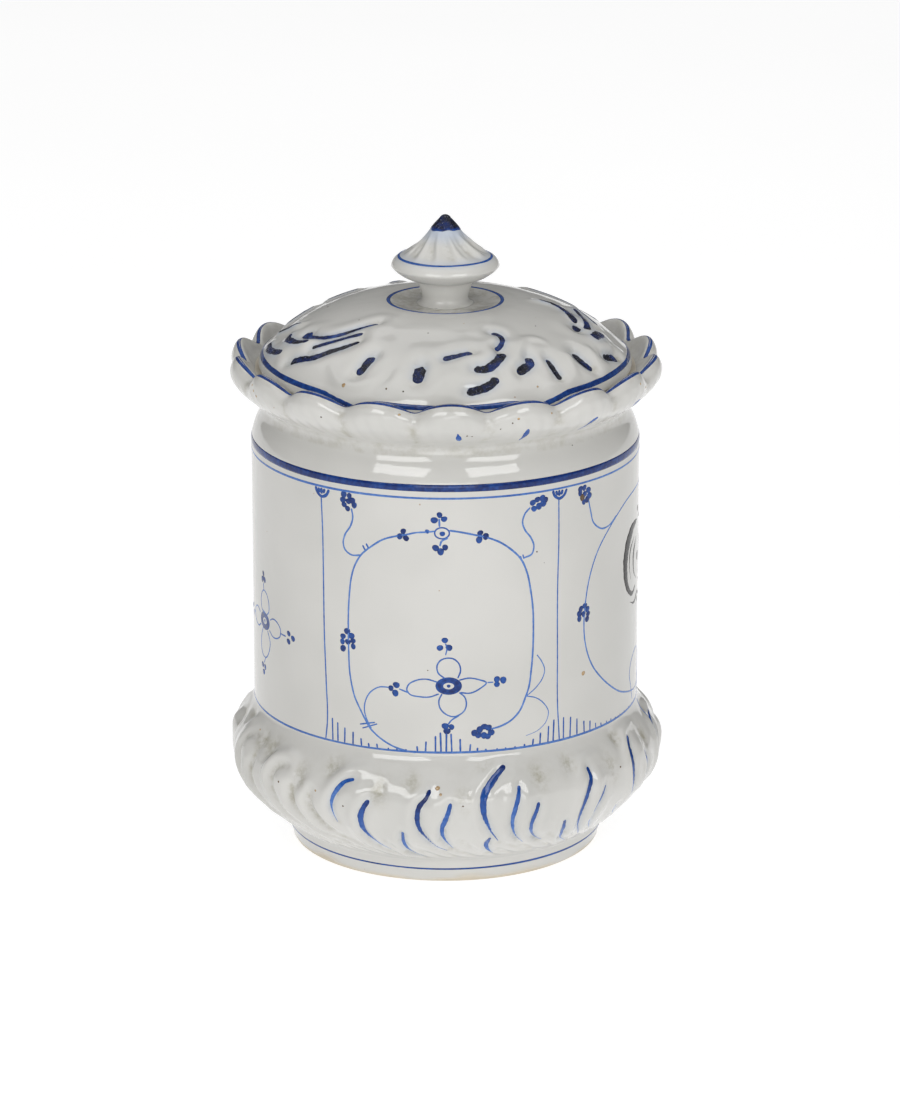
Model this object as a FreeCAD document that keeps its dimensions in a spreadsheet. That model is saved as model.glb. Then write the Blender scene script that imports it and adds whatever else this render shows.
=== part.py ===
import FreeCAD, Part
import math
import os
import re
import Sketcher

# Porcelain apothecary jar with a lift-off lid, in millimetres. +Z is up, the origin is the
# centre of the foot's resting circle, and -Y is the front. Three pieces: the jar, whose rim is
# a frill of cupped petals, the domed lid with its locating flange, and the knob, which is
# formed on its own and luted to the middle of the lid.

SIZES = {
    # Foot and bulge
    "foot_inner_radius": 46.0,
    "foot_outer_radius": 50.2,
    "foot_recess_height": 3.5,
    "foot_recess_radius": 45.0,
    "foot_top_radius": 52.2,
    "foot_top_height": 7.8,
    "bulge_low_radius": 67.4,
    "bulge_low_height": 23.2,
    "bulge_high_radius": 68.8,
    "bulge_high_height": 38.5,
    "bulge_low_bend": 58.9,
    "bulge_middle_bend": 17.7,
    "bulge_high_bend": 31.6,
    # Wall, shoulder and neck
    "wall_radius": 62.5,
    "wall_base_height": 47.8,
    "wall_top_height": 134.9,
    "shoulder_bend": 21.0,
    "shoulder_top_radius": 60.1,
    "shoulder_top_height": 142.2,
    "neck_bend": 9.9,
    "neck_radius": 58.9,
    "neck_height": 146.4,
    # Frill: a plain flared collar and the petals on it
    "collar_radius": 66.0,
    "collar_height": 158.0,
    "collar_bend": 22.0,
    "petal_count": 18,
    "petal_turn": 11.6,
    "petal_axis_radius": 54.0,
    "petal_foot_reach": 5.0,
    "petal_reach": 15.4,
    "petal_reach_height": 159.5,
    "petal_bend": 24.0,
    "petal_lip_reach": 13.2,
    "petal_lip_bend": 5.0,
    "petal_hollow_reach": 11.9,
    "petal_hollow_bend": 12.0,
    "petal_crest_height": 163.8,
    "petal_valley_height": 160.0,
    "petal_half_width": 11.9,
    "petal_cut_height": 166.0,
    # Inside of the jar
    "floor_height": 10.0,
    "floor_radius": 44.0,
    "floor_bend": 35.0,
    "hollow_low_radius": 63.6,
    "hollow_low_height": 27.0,
    "hollow_high_radius": 63.3,
    "hollow_high_height": 38.0,
    "hollow_bend": 17.0,
    "inner_wall_radius": 58.0,
    "inner_wall_base": 50.0,
    "inner_wall_top": 131.0,
    "inner_neck_base": 141.5,
    "bore_radius": 54.0,
    "ledge_radius": 60.8,
    "ledge_height": 157.4,
    "bowl_radius": 62.3,
    "bowl_height": 161.0,
    # Lid
    "lid_clearance": 0.2,
    "lid_radius": 59.7,
    "lid_edge_bend": 5.0,
    "lid_shoulder_radius": 58.5,
    "lid_shoulder_height": 162.4,
    "lid_dome_bend": 58.4,
    "lid_ring_radius": 18.4,
    "lid_ring_height": 179.3,
    "lid_seat_radius": 10.6,
    "lid_seat_height": 178.4,
    "lid_ceiling_height": 174.2,
    "lid_ceiling_radius": 20.0,
    "lid_ceiling_bend": 52.0,
    "flange_outer_radius": 53.2,
    "flange_inner_radius": 49.7,
    "flange_base_height": 147.6,
    "flange_root_height": 162.4,
    # Knob
    "knob_base_radius": 9.2,
    "knob_base_bend": 2.4,
    "stem_radius": 7.4,
    "stem_height": 180.6,
    "stem_bend": 22.0,
    "stem_top_radius": 9.4,
    "stem_top_height": 186.2,
    "disc_radius": 17.3,
    "disc_height": 190.7,
    "disc_underside_bend": 12.0,
    "disc_shoulder_radius": 15.1,
    "disc_shoulder_height": 193.6,
    "disc_edge_bend": 4.0,
    "cone_top_radius": 4.7,
    "cone_top_height": 202.6,
    "cone_bend": 22.0,
    "tip_radius": 1.8,
    "tip_base_height": 205.9,
    "tip_height": 207.0,
}

doc = FreeCAD.newDocument("apothecary_jar")


def make_sheet():
    sheet = doc.addObject("Spreadsheet::Sheet", "Sizes")
    for row, (alias, size) in enumerate(SIZES.items(), start=1):
        sheet.set(f"A{row}", alias)
        sheet.set(f"B{row}", str(size))
        sheet.setAlias(f"B{row}", alias)
    doc.recompute()
    return sheet


sheet = make_sheet()


def bound(expression):
    """The expression with each word read from the sheet."""
    return re.sub(r"[a-z]\w*", r"Sizes.\g<0>", expression)


def value(expression):
    return float(sheet.evalExpression(bound(expression)))


def make_body(label):
    body = doc.addObject("PartDesign::Body", label)
    body.Label = label
    return body


def origin_feature(body, role):
    return next(feature for feature in body.Origin.OriginFeatures if feature.Role == role)


def arc_through(start, end, radius):
    """The minor arc from start to end. A positive radius turns left, a negative one right."""
    middle = (start + end) / 2
    chord = end - start
    side = FreeCAD.Vector(-chord.y, chord.x, 0).normalize()
    rise = math.sqrt(radius ** 2 - (chord.Length / 2) ** 2)
    centre = middle + side * math.copysign(rise, radius)
    crown = centre + (middle - centre).normalize() * abs(radius)
    return Part.Arc(start, crown, end)


def profile_sketch(body, name, outline, shift=None):
    """A closed outline on the XZ plane: corners as (radius, height, bend of the edge that follows).

    Every corner's two coordinates and every arc's radius are constraints bound to the sheet.
    A bend of None is a straight edge, and a leading minus turns the arc right instead of left.
    """
    sketch = body.newObject("Sketcher::SketchObject", name)
    sketch.AttachmentSupport = [(origin_feature(body, "XZ_Plane"), "")]
    sketch.MapMode = "FlatFace"
    if shift is not None:
        sketch.setExpression("AttachmentOffset.Base.x", bound(shift))
    corners = [FreeCAD.Vector(value(across), value(up), 0) for across, up, _ in outline]
    edges = []
    for index, (_, _, bend) in enumerate(outline):
        start = corners[index]
        end = corners[(index + 1) % len(corners)]
        if bend is None:
            edges.append(sketch.addGeometry(Part.LineSegment(start, end)))
        else:
            edges.append(sketch.addGeometry(arc_through(start, end, value(bend))))
    for index, (across, up, bend) in enumerate(outline):
        edge = edges[index]
        following = edges[(index + 1) % len(edges)]
        start_point, end_point = ends_in_order(sketch, edge, corners[index])
        following_start, _ = ends_in_order(sketch, following, corners[(index + 1) % len(corners)])
        sketch.addConstraint(Sketcher.Constraint("Coincident", edge, end_point, following, following_start))
        bind_coordinate(sketch, "DistanceX", edge, start_point, across)
        bind_coordinate(sketch, "DistanceY", edge, start_point, up)
        if bend is not None:
            radius = sketch.addConstraint(Sketcher.Constraint("Radius", edge, abs(value(bend))))
            sketch.setExpression(f"Constraints[{radius}]", bound(bend.lstrip("-")))
    return sketch


def ends_in_order(sketch, edge, start):
    """Sketcher keeps every arc anticlockwise, so an arc that turns right starts at its point 2."""
    if sketch.getPoint(edge, 1).isEqual(start, 1e-6):
        return 1, 2
    return 2, 1


def bind_coordinate(sketch, kind, edge, point, expression):
    """Tie one coordinate of a point to the sheet, or to the sketch's axis where it is zero."""
    origin = -1
    if value(expression) == 0:
        axis = -2 if kind == "DistanceX" else -1
        sketch.addConstraint(Sketcher.Constraint("PointOnObject", edge, point, axis))
        return
    constraint = sketch.addConstraint(
        Sketcher.Constraint(kind, origin, 1, edge, point, value(expression)))
    sketch.setExpression(f"Constraints[{constraint}]", bound(expression))


def turn_profile(body, kind, name, sketch, half=False):
    """Revolve a sketch about its own vertical axis, as material or as a groove."""
    feature = body.newObject(f"PartDesign::{kind}", name)
    feature.Profile = (sketch, [""])
    feature.ReferenceAxis = (sketch, ["V_Axis"])
    if half:
        feature.Midplane = True
        feature.Angle = 180
    else:
        feature.Angle = 360
    doc.recompute()
    return feature


def round_the_rim(body, name, feature):
    """Repeat a petal's feature round the jar's axis."""
    pattern = body.newObject("PartDesign::PolarPattern", name)
    pattern.Originals = [feature]
    pattern.Axis = (origin_feature(body, "Z_Axis"), [""])
    pattern.Angle = 360
    pattern.setExpression("Occurrences", bound("petal_count"))
    body.Tip = pattern
    doc.recompute()
    return pattern


def make_jar_body():
    body = make_body("jar_body")
    outer = profile_sketch(body, "outer_outline", [
        ("0", "foot_recess_height", None),
        ("foot_recess_radius", "foot_recess_height", None),
        ("foot_inner_radius", "0", None),
        ("foot_outer_radius", "0", None),
        ("foot_top_radius", "foot_top_height", "bulge_low_bend"),
        ("bulge_low_radius", "bulge_low_height", "bulge_middle_bend"),
        ("bulge_high_radius", "bulge_high_height", "bulge_high_bend"),
        ("wall_radius", "wall_base_height", None),
        ("wall_radius", "wall_top_height", "shoulder_bend"),
        ("shoulder_top_radius", "shoulder_top_height", "-neck_bend"),
        ("neck_radius", "neck_height", "collar_bend"),
        ("collar_radius", "collar_height", None),
        ("collar_radius", "petal_crest_height", None),
        ("0", "petal_crest_height", None),
    ])
    turn_profile(body, "Revolution", "outer_form", outer)

    petal = profile_sketch(body, "petal_outline", [
        ("0", "neck_height", None),
        ("petal_foot_reach", "neck_height", "petal_bend"),
        ("petal_reach", "petal_reach_height", "petal_lip_bend"),
        ("petal_lip_reach", "petal_crest_height", None),
        ("0", "petal_crest_height", None),
    ], shift="petal_axis_radius")
    round_the_rim(body, "petals", turn_profile(body, "Revolution", "petal", petal, half=True))

    inside = profile_sketch(body, "inside_outline", [
        ("0", "floor_height", None),
        ("floor_radius", "floor_height", "floor_bend"),
        ("hollow_low_radius", "hollow_low_height", "hollow_bend"),
        ("hollow_high_radius", "hollow_high_height", None),
        ("inner_wall_radius", "inner_wall_base", None),
        ("inner_wall_radius", "inner_wall_top", None),
        ("bore_radius", "inner_neck_base", None),
        ("bore_radius", "ledge_height", None),
        ("ledge_radius", "ledge_height", None),
        ("bowl_radius", "bowl_height", None),
        ("bowl_radius", "petal_cut_height", None),
        ("0", "petal_cut_height", None),
    ])
    turn_profile(body, "Groove", "inside", inside)

    hollow = profile_sketch(body, "petal_hollow_outline", [
        ("0", "ledge_height", None),
        ("ledge_radius - petal_axis_radius", "ledge_height", "petal_hollow_bend"),
        ("petal_hollow_reach", "petal_crest_height", None),
        ("petal_hollow_reach", "petal_cut_height", None),
        ("0", "petal_cut_height", None),
    ], shift="petal_axis_radius")
    round_the_rim(body, "petal_hollows", turn_profile(body, "Groove", "petal_hollow", hollow, half=True))

    round_the_rim(body, "petal_tops", cut_petal_top(body))
    body.setExpression("Placement.Rotation.Angle", bound("petal_turn"))
    return body


def cut_petal_top(body):
    """Trim one petal's top to an arc that dips from its crest to the valleys on both sides."""
    sketch = body.newObject("Sketcher::SketchObject", "petal_top_outline")
    sketch.AttachmentSupport = [(origin_feature(body, "YZ_Plane"), "")]
    sketch.MapMode = "FlatFace"
    half_width = value("petal_half_width")
    valley = value("petal_valley_height")
    top = value("petal_cut_height")
    left = FreeCAD.Vector(-half_width, valley, 0)
    crest = FreeCAD.Vector(0, value("petal_crest_height"), 0)
    right = FreeCAD.Vector(half_width, valley, 0)
    corners = [right, FreeCAD.Vector(half_width, top, 0), FreeCAD.Vector(-half_width, top, 0), left]
    arc = sketch.addGeometry(Part.Arc(left, crest, right))
    sides = [sketch.addGeometry(Part.LineSegment(start, end)) for start, end in zip(corners, corners[1:])]
    across = [("DistanceX", "petal_half_width"), ("DistanceY", "petal_valley_height")]
    for kind, expression in across:
        bind_coordinate(sketch, kind, arc, 1, expression)
    sketch.addConstraint(Sketcher.Constraint("Symmetric", arc, 1, arc, 2, -2))
    sketch.addConstraint(Sketcher.Constraint("Coincident", arc, 1, sides[0], 1))
    sketch.addConstraint(Sketcher.Constraint("Coincident", sides[0], 2, sides[1], 1))
    sketch.addConstraint(Sketcher.Constraint("Coincident", sides[1], 2, sides[2], 1))
    sketch.addConstraint(Sketcher.Constraint("Coincident", sides[2], 2, arc, 2))
    sketch.addConstraint(Sketcher.Constraint("Vertical", sides[0]))
    sketch.addConstraint(Sketcher.Constraint("Horizontal", sides[1]))
    sketch.addConstraint(Sketcher.Constraint("Vertical", sides[2]))
    bind_coordinate(sketch, "DistanceY", sides[1], 1, "petal_cut_height")
    rise = "(petal_crest_height - petal_valley_height)"
    bend = f"(petal_half_width * petal_half_width + {rise} * {rise}) / (2 * {rise})"
    radius = sketch.addConstraint(Sketcher.Constraint("Radius", arc, value(bend)))
    sketch.setExpression(f"Constraints[{radius}]", bound(bend))
    doc.recompute()
    pocket = body.newObject("PartDesign::Pocket", "petal_top")
    pocket.Profile = (sketch, [""])
    pocket.Type = "ThroughAll"
    pocket.Reversed = True
    doc.recompute()
    return pocket


def make_lid():
    body = make_body("lid")
    seat = "ledge_height + lid_clearance"
    outline = profile_sketch(body, "lid_outline", [
        ("0", "lid_ceiling_height", None),
        ("lid_ceiling_radius", "lid_ceiling_height", "-lid_ceiling_bend"),
        ("flange_inner_radius", "flange_root_height", None),
        ("flange_inner_radius", "flange_base_height", None),
        ("flange_outer_radius", "flange_base_height", None),
        ("flange_outer_radius", seat, None),
        ("lid_radius", seat, "lid_edge_bend"),
        ("lid_shoulder_radius", "lid_shoulder_height", "lid_dome_bend"),
        ("lid_ring_radius", "lid_ring_height", None),
        ("lid_seat_radius", "lid_seat_height", None),
        ("0", "lid_seat_height", None),
    ])
    turn_profile(body, "Revolution", "lid_form", outline)
    return body


def make_lid_knob():
    body = make_body("lid_knob")
    tip_rise = "(tip_height - tip_base_height)"
    tip_bend = f"({tip_rise} * {tip_rise} + tip_radius * tip_radius) / (2 * {tip_rise})"
    outline = profile_sketch(body, "knob_outline", [
        ("0", "lid_seat_height", None),
        ("knob_base_radius", "lid_seat_height", "-knob_base_bend"),
        ("stem_radius", "stem_height", "-stem_bend"),
        ("stem_top_radius", "stem_top_height", "disc_underside_bend"),
        ("disc_radius", "disc_height", "disc_edge_bend"),
        ("disc_shoulder_radius", "disc_shoulder_height", "-cone_bend"),
        ("cone_top_radius", "cone_top_height", None),
        ("tip_radius", "tip_base_height", tip_bend),
        ("0", "tip_height", None),
    ])
    turn_profile(body, "Revolution", "knob_form", outline)
    return body


def check(parts):
    doc.recompute()
    for feature in doc.Objects:
        states = set(feature.State) & {"Invalid", "Error"}
        if states:
            raise RuntimeError(f"{feature.Name}: {states}")
    for part in parts:
        shape = part.Shape
        if shape.isNull() or not shape.isValid() or len(shape.Solids) != 1:
            raise RuntimeError(f"{part.Label}: null, invalid or not one solid")
        box = shape.optimalBoundingBox()
        print(f"{part.Label}: volume {shape.Volume:.0f} mm3, "
              f"x {box.XMin:.2f}..{box.XMax:.2f}, y {box.YMin:.2f}..{box.YMax:.2f}, "
              f"z {box.ZMin:.2f}..{box.ZMax:.2f}")


parts = [make_jar_body(), make_lid(), make_lid_knob()]
check(parts)
os.makedirs("parts", exist_ok=True)
for part in parts:
    part.Shape.exportStep(f"parts/{part.Label}.step")
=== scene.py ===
import math
import random

import bpy
import numpy as np
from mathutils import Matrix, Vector


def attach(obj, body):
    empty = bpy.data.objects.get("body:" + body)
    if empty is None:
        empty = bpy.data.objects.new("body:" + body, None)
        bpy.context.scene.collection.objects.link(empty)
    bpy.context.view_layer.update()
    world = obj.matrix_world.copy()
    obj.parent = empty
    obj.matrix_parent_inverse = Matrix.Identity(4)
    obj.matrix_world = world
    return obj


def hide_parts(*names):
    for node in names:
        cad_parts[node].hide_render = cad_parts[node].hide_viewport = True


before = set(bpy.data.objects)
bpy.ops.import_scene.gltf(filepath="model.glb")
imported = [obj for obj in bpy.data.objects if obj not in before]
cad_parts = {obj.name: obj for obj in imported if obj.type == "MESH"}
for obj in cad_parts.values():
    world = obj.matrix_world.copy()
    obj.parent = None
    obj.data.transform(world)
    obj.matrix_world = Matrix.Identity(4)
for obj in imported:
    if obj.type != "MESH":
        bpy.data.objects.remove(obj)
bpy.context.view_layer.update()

# Porcelain apothecary jar. Shapes are worked out in millimetres and scaled to metres when a
# mesh is made. A place on a surface is (azimuth, mark): azimuth 0 faces the front (-Y) and
# grows towards +X. The mark is a height on the wall, the base and the knob, a step along the
# frill's section on the frill, and minus the radius on the lid.

MM = 0.001
PETALS = 18
FIRST_CREST = 1.6
PETAL_PITCH = 360 / PETALS
WALL_RADIUS = 62.5
# Radii at which the azimuth is measured off in millimetres on the base, the frill and the knob.
BASE_SPREAD = 66
FRILL_SPREAD = 67
KNOB_SPREAD = 12
chance = random.Random(18)


# ---------------------------------------------------------------- curves and grids

def arc(start, end, radius, steps):
    """Points from start towards end on the minor arc, end left out. A positive radius turns left."""
    start = np.array(start, float)
    end = np.array(end, float)
    middle = (start + end) / 2
    chord = end - start
    half = np.hypot(*chord) / 2
    side = np.array([-chord[1], chord[0]]) / (2 * half)
    rise = math.sqrt(radius ** 2 - half ** 2)
    centre = middle + side * math.copysign(rise, radius)
    first = math.atan2(*(start - centre)[::-1])
    sweep = 2 * math.asin(half / abs(radius)) * math.copysign(1, radius)
    angles = first + sweep * np.arange(steps) / steps
    return [(centre[0] + abs(radius) * math.cos(a), centre[1] + abs(radius) * math.sin(a)) for a in angles]


def smooth_path(points, step, closed=False):
    """The points joined by a smooth curve and sampled every step millimetres or so."""
    points = np.array(points, float)
    if closed:
        points = np.vstack([points[-2:], points, points[:3]])
    if len(points) == 2:
        points = np.vstack([points[0], points.mean(axis=0), points[1]])
    gaps = np.maximum(np.hypot(*np.diff(points, axis=0).T), 1e-6)
    knots = np.concatenate([[0], np.cumsum(gaps)])
    slopes = np.gradient(points, knots, axis=0)
    first, last = (knots[2], knots[-3]) if closed else (0, knots[-1])
    count = max(4, int((last - first) / step) + 1)
    places = np.linspace(first, last, count)
    index = np.clip(np.searchsorted(knots, places, "right") - 1, 0, len(gaps) - 1)
    gap = gaps[index][:, None]
    t = ((places - knots[index]) / gaps[index])[:, None]
    a, b = points[index], points[index + 1]
    ta, tb = slopes[index] * gap, slopes[index + 1] * gap
    curve = (2 * t ** 3 - 3 * t ** 2 + 1) * a + (t ** 3 - 2 * t ** 2 + t) * ta
    curve += (3 * t ** 2 - 2 * t ** 3) * b + (t ** 3 - t ** 2) * tb
    return curve[:-1] if closed else curve


def ease(t):
    """0 up to t = 0, 1 from t = 1, and a smooth step between."""
    t = np.clip(t, 0, 1)
    return t * t * (3 - 2 * t)


def turn_round(radii, heights, columns):
    """Rows of radii and heights, each one number or one per column, as a grid of points."""
    angle = np.radians(np.arange(columns) * 360 / columns)
    radii = np.broadcast_to(radii, (len(radii), columns))
    heights = np.broadcast_to(heights, (len(heights), columns))
    return np.stack([radii * np.sin(angle), -radii * np.cos(angle), heights], axis=-1)


def grid_normals(grid):
    along = np.roll(grid, -1, axis=1) - np.roll(grid, 1, axis=1)
    normals = np.cross(along, np.gradient(grid, axis=0))
    return normals / np.maximum(np.linalg.norm(normals, axis=-1, keepdims=True), 1e-9)


def make_mesh(name, vertices, faces, marks=None):
    """A smooth-shaded mesh object from points in millimetres, with a number per vertex for each mark."""
    mesh = bpy.data.meshes.new(name)
    mesh.from_pydata((np.asarray(vertices) * MM).tolist(), [], faces)
    mesh.update()
    mesh.shade_smooth()
    for mark, values in (marks or {}).items():
        layer = mesh.attributes.new(mark, "FLOAT", "POINT")
        layer.data.foreach_set("value", np.asarray(values, np.float32))
    piece = bpy.data.objects.new(name, mesh)
    bpy.context.collection.objects.link(piece)
    return piece


def band_faces(rows, columns, closed=False):
    """Faces between each row of a grid and the next, every row a closed ring."""
    faces = []
    for row in range(rows if closed else rows - 1):
        here, above = row * columns, (row + 1) % rows * columns
        for column in range(columns):
            ahead = (column + 1) % columns
            faces.append((here + column, here + ahead, above + ahead, above + column))
    return faces


def closed_turning(name, grid, marks, low_pole, high_pole):
    """A closed mesh from a grid of rows, with a pole point under its first row and over its last."""
    rows, columns = grid.shape[:2]
    vertices = np.vstack([grid.reshape(-1, 3), [[0, 0, low_pole], [0, 0, high_pole]]])
    low, high, last = rows * columns, rows * columns + 1, (rows - 1) * columns
    faces = band_faces(rows, columns)
    faces += [(low, (column + 1) % columns, column) for column in range(columns)]
    faces += [(high, last + column, last + (column + 1) % columns) for column in range(columns)]
    padded = {mark: np.append(values.reshape(-1), [0, 0]) for mark, values in marks.items()}
    return make_mesh(name, vertices, faces, padded)


def soften(height, passes, most):
    """A grid of heights with its sharp corners rounded off, held within most either way."""
    height = most * np.tanh(height / most)
    for _ in range(passes):
        height = (np.roll(height, 1, axis=1) + 2 * height + np.roll(height, -1, axis=1)) / 4
        padded = np.vstack([height[:1], height, height[-1:]])
        height = (padded[:-2] + 2 * padded[1:-1] + padded[2:]) / 4
    return height


class Skin:
    """Part of a turned surface, flattened so that strokes can be laid out on it in millimetres.

    spread is the radius at which azimuth is measured off. A polar skin is flattened about its axis.
    """

    def __init__(self, grid, marks, polar=False, spread=1):
        self.grid = grid
        self.normals = grid_normals(grid)
        self.polar = polar
        self.degree = spread * math.pi / 180
        radii = np.hypot(grid[..., 0], grid[..., 1]).mean(axis=1)
        heights = grid[..., 2].mean(axis=1)
        run = np.concatenate([[0], np.cumsum(np.hypot(np.diff(radii), np.diff(heights)))])
        if polar:
            run = run[-1] - run + radii[-1]
        order = np.argsort(marks)
        self.marks, self.mark_runs = np.array(marks, float)[order], run[order]
        order = np.argsort(run)
        self.runs, self.rows = run[order], np.arange(len(run))[order]

    def flatten(self, azimuth, mark):
        azimuth = np.asarray(azimuth, float)
        run = np.interp(mark, self.marks, self.mark_runs)
        if self.polar:
            return run * np.sin(np.radians(azimuth)), -run * np.cos(np.radians(azimuth))
        return azimuth * self.degree, run

    def flat_path(self, path):
        azimuth, mark = np.array(path, float).T
        return np.stack(self.flatten(azimuth, mark), axis=-1)

    def surface(self, across, up):
        """The point and the normal at places on the flattened surface."""
        if self.polar:
            azimuth, run = np.degrees(np.arctan2(across, -up)), np.hypot(across, up)
        else:
            azimuth, run = across / self.degree, up
        columns = self.grid.shape[1]
        row = np.clip(np.interp(run, self.runs, self.rows), 0, len(self.rows) - 1.001)
        column = (azimuth % 360) * columns / 360
        r0, c0 = row.astype(int), column.astype(int) % columns
        r1, c1 = r0 + 1, (c0 + 1) % columns
        fr, fc = (row - r0)[..., None], (column - column.astype(int))[..., None]

        def blend(table):
            low = table[r0, c0] * (1 - fc) + table[r0, c1] * fc
            high = table[r1, c0] * (1 - fc) + table[r1, c1] * fc
            return low * (1 - fr) + high * fr

        return blend(self.grid), blend(self.normals)


def signed_distance(across, up, path):
    """Distance to a path, positive on its left, and how far along it the nearest place is, 0 to 1."""
    steps = np.diff(path, axis=0)
    lengths = np.hypot(*steps.T)
    before = np.concatenate([[0], np.cumsum(lengths)])
    best = np.full(across.shape, 1e9)
    side = np.ones(across.shape)
    along = np.zeros(across.shape)
    for start, step, length, run in zip(path, steps, lengths, before):
        da, du = across - start[0], up - start[1]
        t = np.clip((da * step[0] + du * step[1]) / length ** 2, 0, 1)
        oa, ou = da - t * step[0], du - t * step[1]
        distance = np.hypot(oa, ou)
        nearer = distance < best
        best = np.where(nearer, distance, best)
        side = np.where(nearer, np.sign(step[0] * ou - step[1] * oa), side)
        along = np.where(nearer, (run + t * length) / before[-1], along)
    return best * side, along


class Relief:
    """Heights added to a flattened surface by grooves, ridges and bosses."""

    # How far from its path a stroke of relief is worked out, in millimetres.
    REACH = 14

    def __init__(self, across, up, wrap=None):
        self.across, self.up, self.wrap = across, up, wrap
        self.height = np.zeros(across.shape)
        self.near_paint = np.zeros(across.shape)
        # Painted shade and dirt, strongest down the grooves and in the sunken bosses.
        self.hollow = np.zeros(across.shape)

    def local(self, middle):
        shifted = self.across
        if self.wrap:
            shifted = (self.across - middle[0] + self.wrap / 2) % self.wrap - self.wrap / 2 + middle[0]
        return shifted

    def along(self, path, shape, head=0.15, tail=0.35):
        """Add shape(signed distance) along a path, fading in over head and out over tail of its length.

        A tail of 0 keeps the full height round both ends.
        """
        path = smooth_path(path, 2)
        middle = path.mean(axis=0)
        reach = np.hypot(*(path - middle).T).max() + self.REACH
        shifted = self.local(middle)
        close = np.hypot(shifted - middle[0], self.up - middle[1]) < reach
        distance, along = signed_distance(shifted[close], self.up[close], path)
        fade = (0.4 + 0.6 * ease(along / head)) * ease((1 - along) / tail) if tail else 1.0
        return close, distance, fade * shape(distance)

    def groove(self, path, depth, width, outer, inner, **ends):
        def shape(d):
            cut = -depth * np.exp(-(d / width) ** 2)
            right = outer * np.exp(-((d + 2.1 * width) / (1.25 * width)) ** 2)
            left = inner * np.exp(-((d - 2.1 * width) / (1.25 * width)) ** 2)
            return cut + right + left

        close, distance, height = self.along(path, shape, **ends)
        self.height[close] += height
        self.hollow[close] += 0.5 * np.exp(-(distance / width) ** 2)

    def ridge(self, path, height, width, **ends):
        close, _, rise = self.along(path, lambda d: height * np.exp(-(d / width) ** 2), **ends)
        self.height[close] += rise

    def boss(self, place, height, radius, stretch=1.0):
        shifted = self.local(place)
        distance = np.hypot(shifted - place[0], (self.up - place[1]) / stretch)
        self.height += height * np.exp(-(distance / radius) ** 2)
        if height < 0:
            self.hollow += 0.8 * np.exp(-(distance / radius) ** 2)

    def halo(self, path, reach):
        """Where the blue of a stroke has bled into the glaze round it."""
        close, distance, strength = self.along(path, lambda d: np.exp(-(d / reach) ** 2), head=0.05, tail=0.2)
        self.near_paint[close] = np.maximum(self.near_paint[close], strength)


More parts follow.
